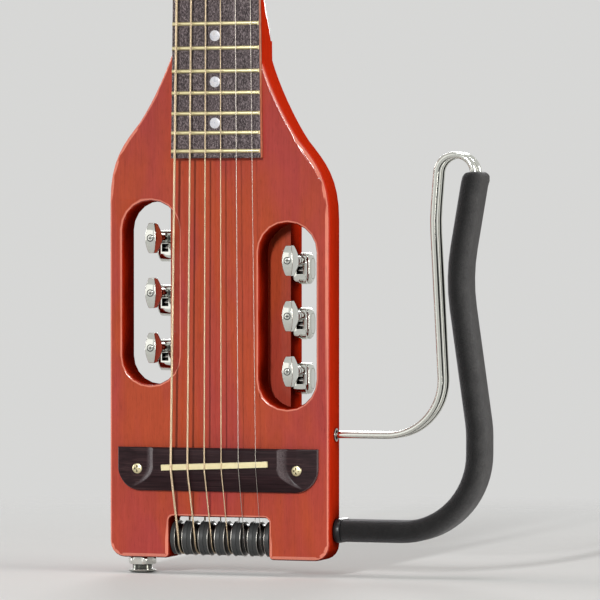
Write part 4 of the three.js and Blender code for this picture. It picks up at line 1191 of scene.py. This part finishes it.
def add_sleeve():
    """The foam on the outer leg, from below the hook down to the foot, its top end rounded."""
    full = rest_route(ROD_FRONT_DEPTH + ROD_PITCH / 2, HALF_BODY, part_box("lap_rest_foot")[1].x + GAP)
    hook = max(index for index, point in enumerate(full) if point.z > SADDLE_LINE + REST_TOP - GAP)
    top = min(index for index, point in enumerate(full)
              if index > hook and point.z < SADDLE_LINE + REST_TOP - HOOK_RADIUS * 0.9)
    path = even_route(full[top:], SLEEVE_STEP)
    direction = (path[1] - path[0]).normalized()
    caps = arc(0, pi / 2, 6)
    route = [path[0] + direction * SLEEVE_ROUND * (1 - a) for a, b in caps]
    sizes = [SLEEVE_ROUND * (1 - b) for a, b in caps]
    reach = (path[0] + direction * SLEEVE_ROUND).z
    for point in path[1:]:
        if point.z < reach or point.x < path[0].x - REST_REACH / 2:
            route.append(point)
            sizes.append(0)
    foam_part = (*sweep(route, stadium, (0, 1, 0), sizes), FOAM)
    sleeve = build("foam_sleeve", [foam_part], ["lap_rest_sleeve"], "lap_rest", sharp=70)


def even_route(points, step):
    """The same line with points about a step apart on its straight stretches."""
    route = [points[0]]
    for here, there in zip(points, points[1:]):
        count = max(1, round((there - here).length / step))
        route += [here.lerp(there, part / count) for part in range(1, count + 1)]
    return route


def add_foot():
    low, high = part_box("lap_rest_foot")
    centre = middle("lap_rest_foot")
    deep = (high.y - low.y) / 2
    tall = (high.z - low.z) / 2
    edge = FOOT_EDGE
    rings = []
    for x, inset in ((low.x, edge), (low.x + edge * 0.3, edge * 0.3), (low.x + edge, 0),
                     (high.x - edge, 0), (high.x - edge * 0.3, edge * 0.3), (high.x, edge)):
        outline = rounded_box(-deep + inset, -tall + inset, deep - inset, tall - inset,
                              (tall - inset) * 0.97, 8)
        rings.append([Vector((x, centre.y + y, centre.z + z)) for y, z in outline])
    build("rest_foot", [(*loft(rings), RUBBER)], ["lap_rest_foot"], "lap_rest")


def add_bush():
    """The tube in the body's side that the front leg slides in, with a thin rim outside."""
    low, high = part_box("lap_rest_bush")
    centre = middle("lap_rest_bush")
    rim = (high.z - low.z) / 2
    inner = low.x - high.x
    bush = lathe([
        (BUSH_BORE, inner), (BUSH_RADIUS, inner), (BUSH_RADIUS, -0.0005), (rim, -0.0005), (rim, -0.0002),
        (rim - 0.0003, 0), (BUSH_BORE + 0.0003, 0), (BUSH_BORE, -0.0003), (BUSH_BORE, inner),
    ], (high.x, centre.y, centre.z), (1, 0, 0), 40)
    build("rest_bush", [(*bush, STEEL)], ["lap_rest_bush"])


# Output jack, screws and strap button


def add_jack():
    """A threaded barrel with a rounded flange below, bored from below, and its hexagon nut."""
    low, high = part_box("output_jack")
    nut_low, nut_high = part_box("jack_nut")
    centre = middle("output_jack")
    centre.z = 0
    flange = half_width("output_jack")
    soft = 0.0003
    top = low.z + FLANGE_TALL
    profile = [
        (JACK_BORE, low.z), (flange - FLANGE_TALL, low.z), (flange - soft, low.z + soft),
        (flange, low.z + FLANGE_TALL / 2), (flange, top - soft), (flange - soft, top), (BARREL_RADIUS, top),
    ]
    along = top + THREAD_START
    while along < nut_low.z + THREAD_END:
        profile += [(BARREL_RADIUS, along), (BARREL_RADIUS - THREAD_PITCH / 2, along + THREAD_PITCH / 2),
                    (BARREL_RADIUS, along + THREAD_PITCH)]
        along += THREAD_PITCH
    floor = low.z + JACK_DEPTH
    profile += [(BARREL_RADIUS, high.z), (0, high.z), (0, floor), (JACK_BORE, floor), (JACK_BORE, low.z)]
    jack = lathe(profile, centre, (0, 0, 1), 48)
    build("jack_barrel", [(*jack, CHROME)], ["output_jack"], sharp=40)
    nut = hex_nut(centre, nut_low.z, nut_high.z, half_width("jack_nut"))
    build("jack_hex_nut", [(*nut, CHROME)], ["jack_nut"])


def hex_nut(centre, low, high, reach):
    """A ring with six flats outside, its corners cut back at the top and the bottom."""
    sides = 48
    chamfer = NUT_CHAMFER
    rings = []
    for z, inset in ((low, chamfer), (low + chamfer, 0), (high - chamfer, 0), (high, chamfer)):
        ring = []
        for step, (a, b) in enumerate(circle(1, sides)):
            angle = 2 * pi * step / sides
            flat = cos(pi / 6) / cos((angle % (pi / 3)) - pi / 6)
            radius = min(reach * flat, reach - inset)
            ring.append(centre + Vector((radius * a, radius * b, z)))
        rings.append(ring)
    for z in (high, low):
        rings.append([centre + Vector((a, b, z)) for a, b in circle(BARREL_RADIUS + GAP, sides)])
    return loft([*rings, rings[0]], caps=False)


def add_bridge_screws():
    for side in ("left", "right"):
        node = f"bridge_screw_{side}"
        low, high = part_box(node)
        length = high.y - low.y
        radius = half_width(node)
        head = cross_head(radius, *SCREW_HEAD)
        shank = lathe([(0, 0.0002), (radius - GAP, 0.0002), (0.0015, 0.0019), (0.0015, length), (0, length)],
                      sides=24)
        at = middle(node)
        at.y = low.y + GAP
        build(f"bridge_fixing_{side}", placed(at, (head, BRASS), (shank, BRASS)), [node])


def add_strap_button():
    low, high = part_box("strap_button")
    centre = middle("strap_button")
    centre.y = low.y
    radius = half_width("strap_button")
    length = high.y - low.y
    neck = PEG_NECK
    foot = radius * 0.83
    hollow = [(neck + (foot - neck) * (1 - b), PEG_FOOT + PEG_FLARE * (1 - a))
              for a, b in arc(0, pi / 2, 8)[1:]]
    profile = [
        (radius * 0.85, 0), (foot, PEG_FOOT), *hollow, (neck, length * 0.56), (neck + 0.0006, length * 0.64),
        (radius * 0.9, length * 0.76), (radius, length * 0.82), (radius, length * 0.9),
        (radius * 0.96, length * 0.96), (radius * 0.88, length), (0.0034, length),
        (PEG_BORE, length - 0.0015), (PEG_BORE, 0), (radius * 0.85, 0),
    ]
    button = lathe(profile, centre, sides=48)
    build("strap_peg", [(*button, CHROME)], ["strap_button"], sharp=40)
    points, faces = cross_head(PEG_SCREW, *SCREW_HEAD)
    turned = [Vector((-point.x, -point.y, point.z)) for point in points]
    screw_low, screw_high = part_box("strap_button_screw")
    at = Vector((centre.x, screw_high.y - PEG_HEAD, centre.z))
    tip = screw_low.y - at.y
    shank = lathe([(0, -0.0002), (0.0027, -0.0002), (0.0016, -0.0016), (0.0016, tip), (0, tip)], sides=24)
    build("strap_peg_screw", placed(at, ((turned, faces), STEEL), (shank, STEEL)),
          ["strap_button_screw"])


# Floor, background and lights


def add_stage():
    """A pale floor that fades into the background away from the guitar."""
    z = CAD_BOX[0][2] - FLOOR_GAP
    corners = [(FLOOR_REACH * a, FLOOR_REACH * b, z) for a, b in ((-1, -1), (1, -1), (1, 1), (-1, 1))]
    mesh = bpy.data.meshes.new("floor")
    mesh.from_pydata(corners, [], [(0, 1, 2, 3)])
    floor = link("floor", mesh)
    finish = Finish("floor", Roughness=0.9, Specular_IOR_Level=0.1)
    clouds = finish.noise((3, 3, 3), 3, 0.5)
    finish.link(finish.mix(clouds, (0.7, 0.7, 0.69), (0.74, 0.74, 0.73)), "Base Color")
    away = finish.node("VectorMath", {0: finish.place}, "Value", operation="LENGTH")
    fade = finish.ramp(away, (0.35, 0), (0.8, 1))
    clear = finish.node("BsdfTransparent", {})
    mixed = finish.node("MixShader", {0: fade, 1: finish.shader.outputs[0], 2: clear})
    finish.tree.links.new(mixed, finish.tree.nodes["Material Output"].inputs["Surface"])
    mesh.materials.append(finish.material)


def add_world():
    """A faint even light, and a pale grey where the camera or a mirror looks past the guitar."""
    world = bpy.data.worlds.new("world")
    bpy.context.scene.world = world
    world.use_nodes = True
    tree = world.node_tree
    fill_light = tree.nodes["Background"]
    fill_light.inputs["Color"].default_value = (1, 0.99, 0.97, 1)
    fill_light.inputs["Strength"].default_value = 0.08
    seen = new_node(tree, "Background", {"Color": (0.68, 0.68, 0.67, 1), "Strength": 1})
    rays = tree.nodes.new("ShaderNodeLightPath").outputs
    looks = rays["Is Camera Ray"]
    for ray in ("Is Glossy Ray", "Is Transmission Ray"):
        looks = new_node(tree, "Math", {0: looks, 1: rays[ray]}, operation="MAXIMUM")
    mixed = new_node(tree, "MixShader", {0: looks, 1: fill_light.outputs[0], 2: seen})
    tree.links.new(mixed, tree.nodes["World Output"].inputs["Surface"])


def add_lights():
    """Rectangular lamps, aimed at the guitar: name, place, width, height, power and colour."""
    for name, location, width, height, power, colour in (
        ("key", (0.02, -2.6, 0.7), 0.12, 0.5, 51, (1, 1, 1)),
        ("sheen", (-1.1, -2.4, 0.5), 0.9, 1.6, 3, (1, 0.97, 0.93)),
        ("right_side", (2.4, -0.3, 0.4), 1, 1.6, 44, (1, 0.97, 0.92)),
        ("left_side", (-2.4, 0, 0.4), 1, 1.6, 40, (1, 1, 1)),
        ("top", (0.1, -0.4, 2.4), 1, 0.6, 9, (1, 1, 1)),
        ("back", (-0.7, 2.5, 0.7), 0.9, 0.9, 26, (1, 1, 1)),
    ):
        data = bpy.data.lights.new(name, "AREA")
        data.shape = "RECTANGLE"
        data.size = width
        data.size_y = height
        data.energy = power
        data.color = colour
        light = link(name, data)
        light.location = location
        aim = Vector(LIGHT_TARGET) - light.location
        light.rotation_euler = aim.to_track_quat("-Z", "Y").to_euler()


dress_nodes()
add_fingerboard()
add_bridge()
add_ledges()
add_strings()
add_rollers()
add_tuners()
add_rest_rod()
add_sleeve()
add_foot()
add_bush()
add_jack()
add_bridge_screws()
add_strap_button()
add_stage()
add_world()
add_lights()

bpy.context.scene.view_settings.view_transform = "Standard"
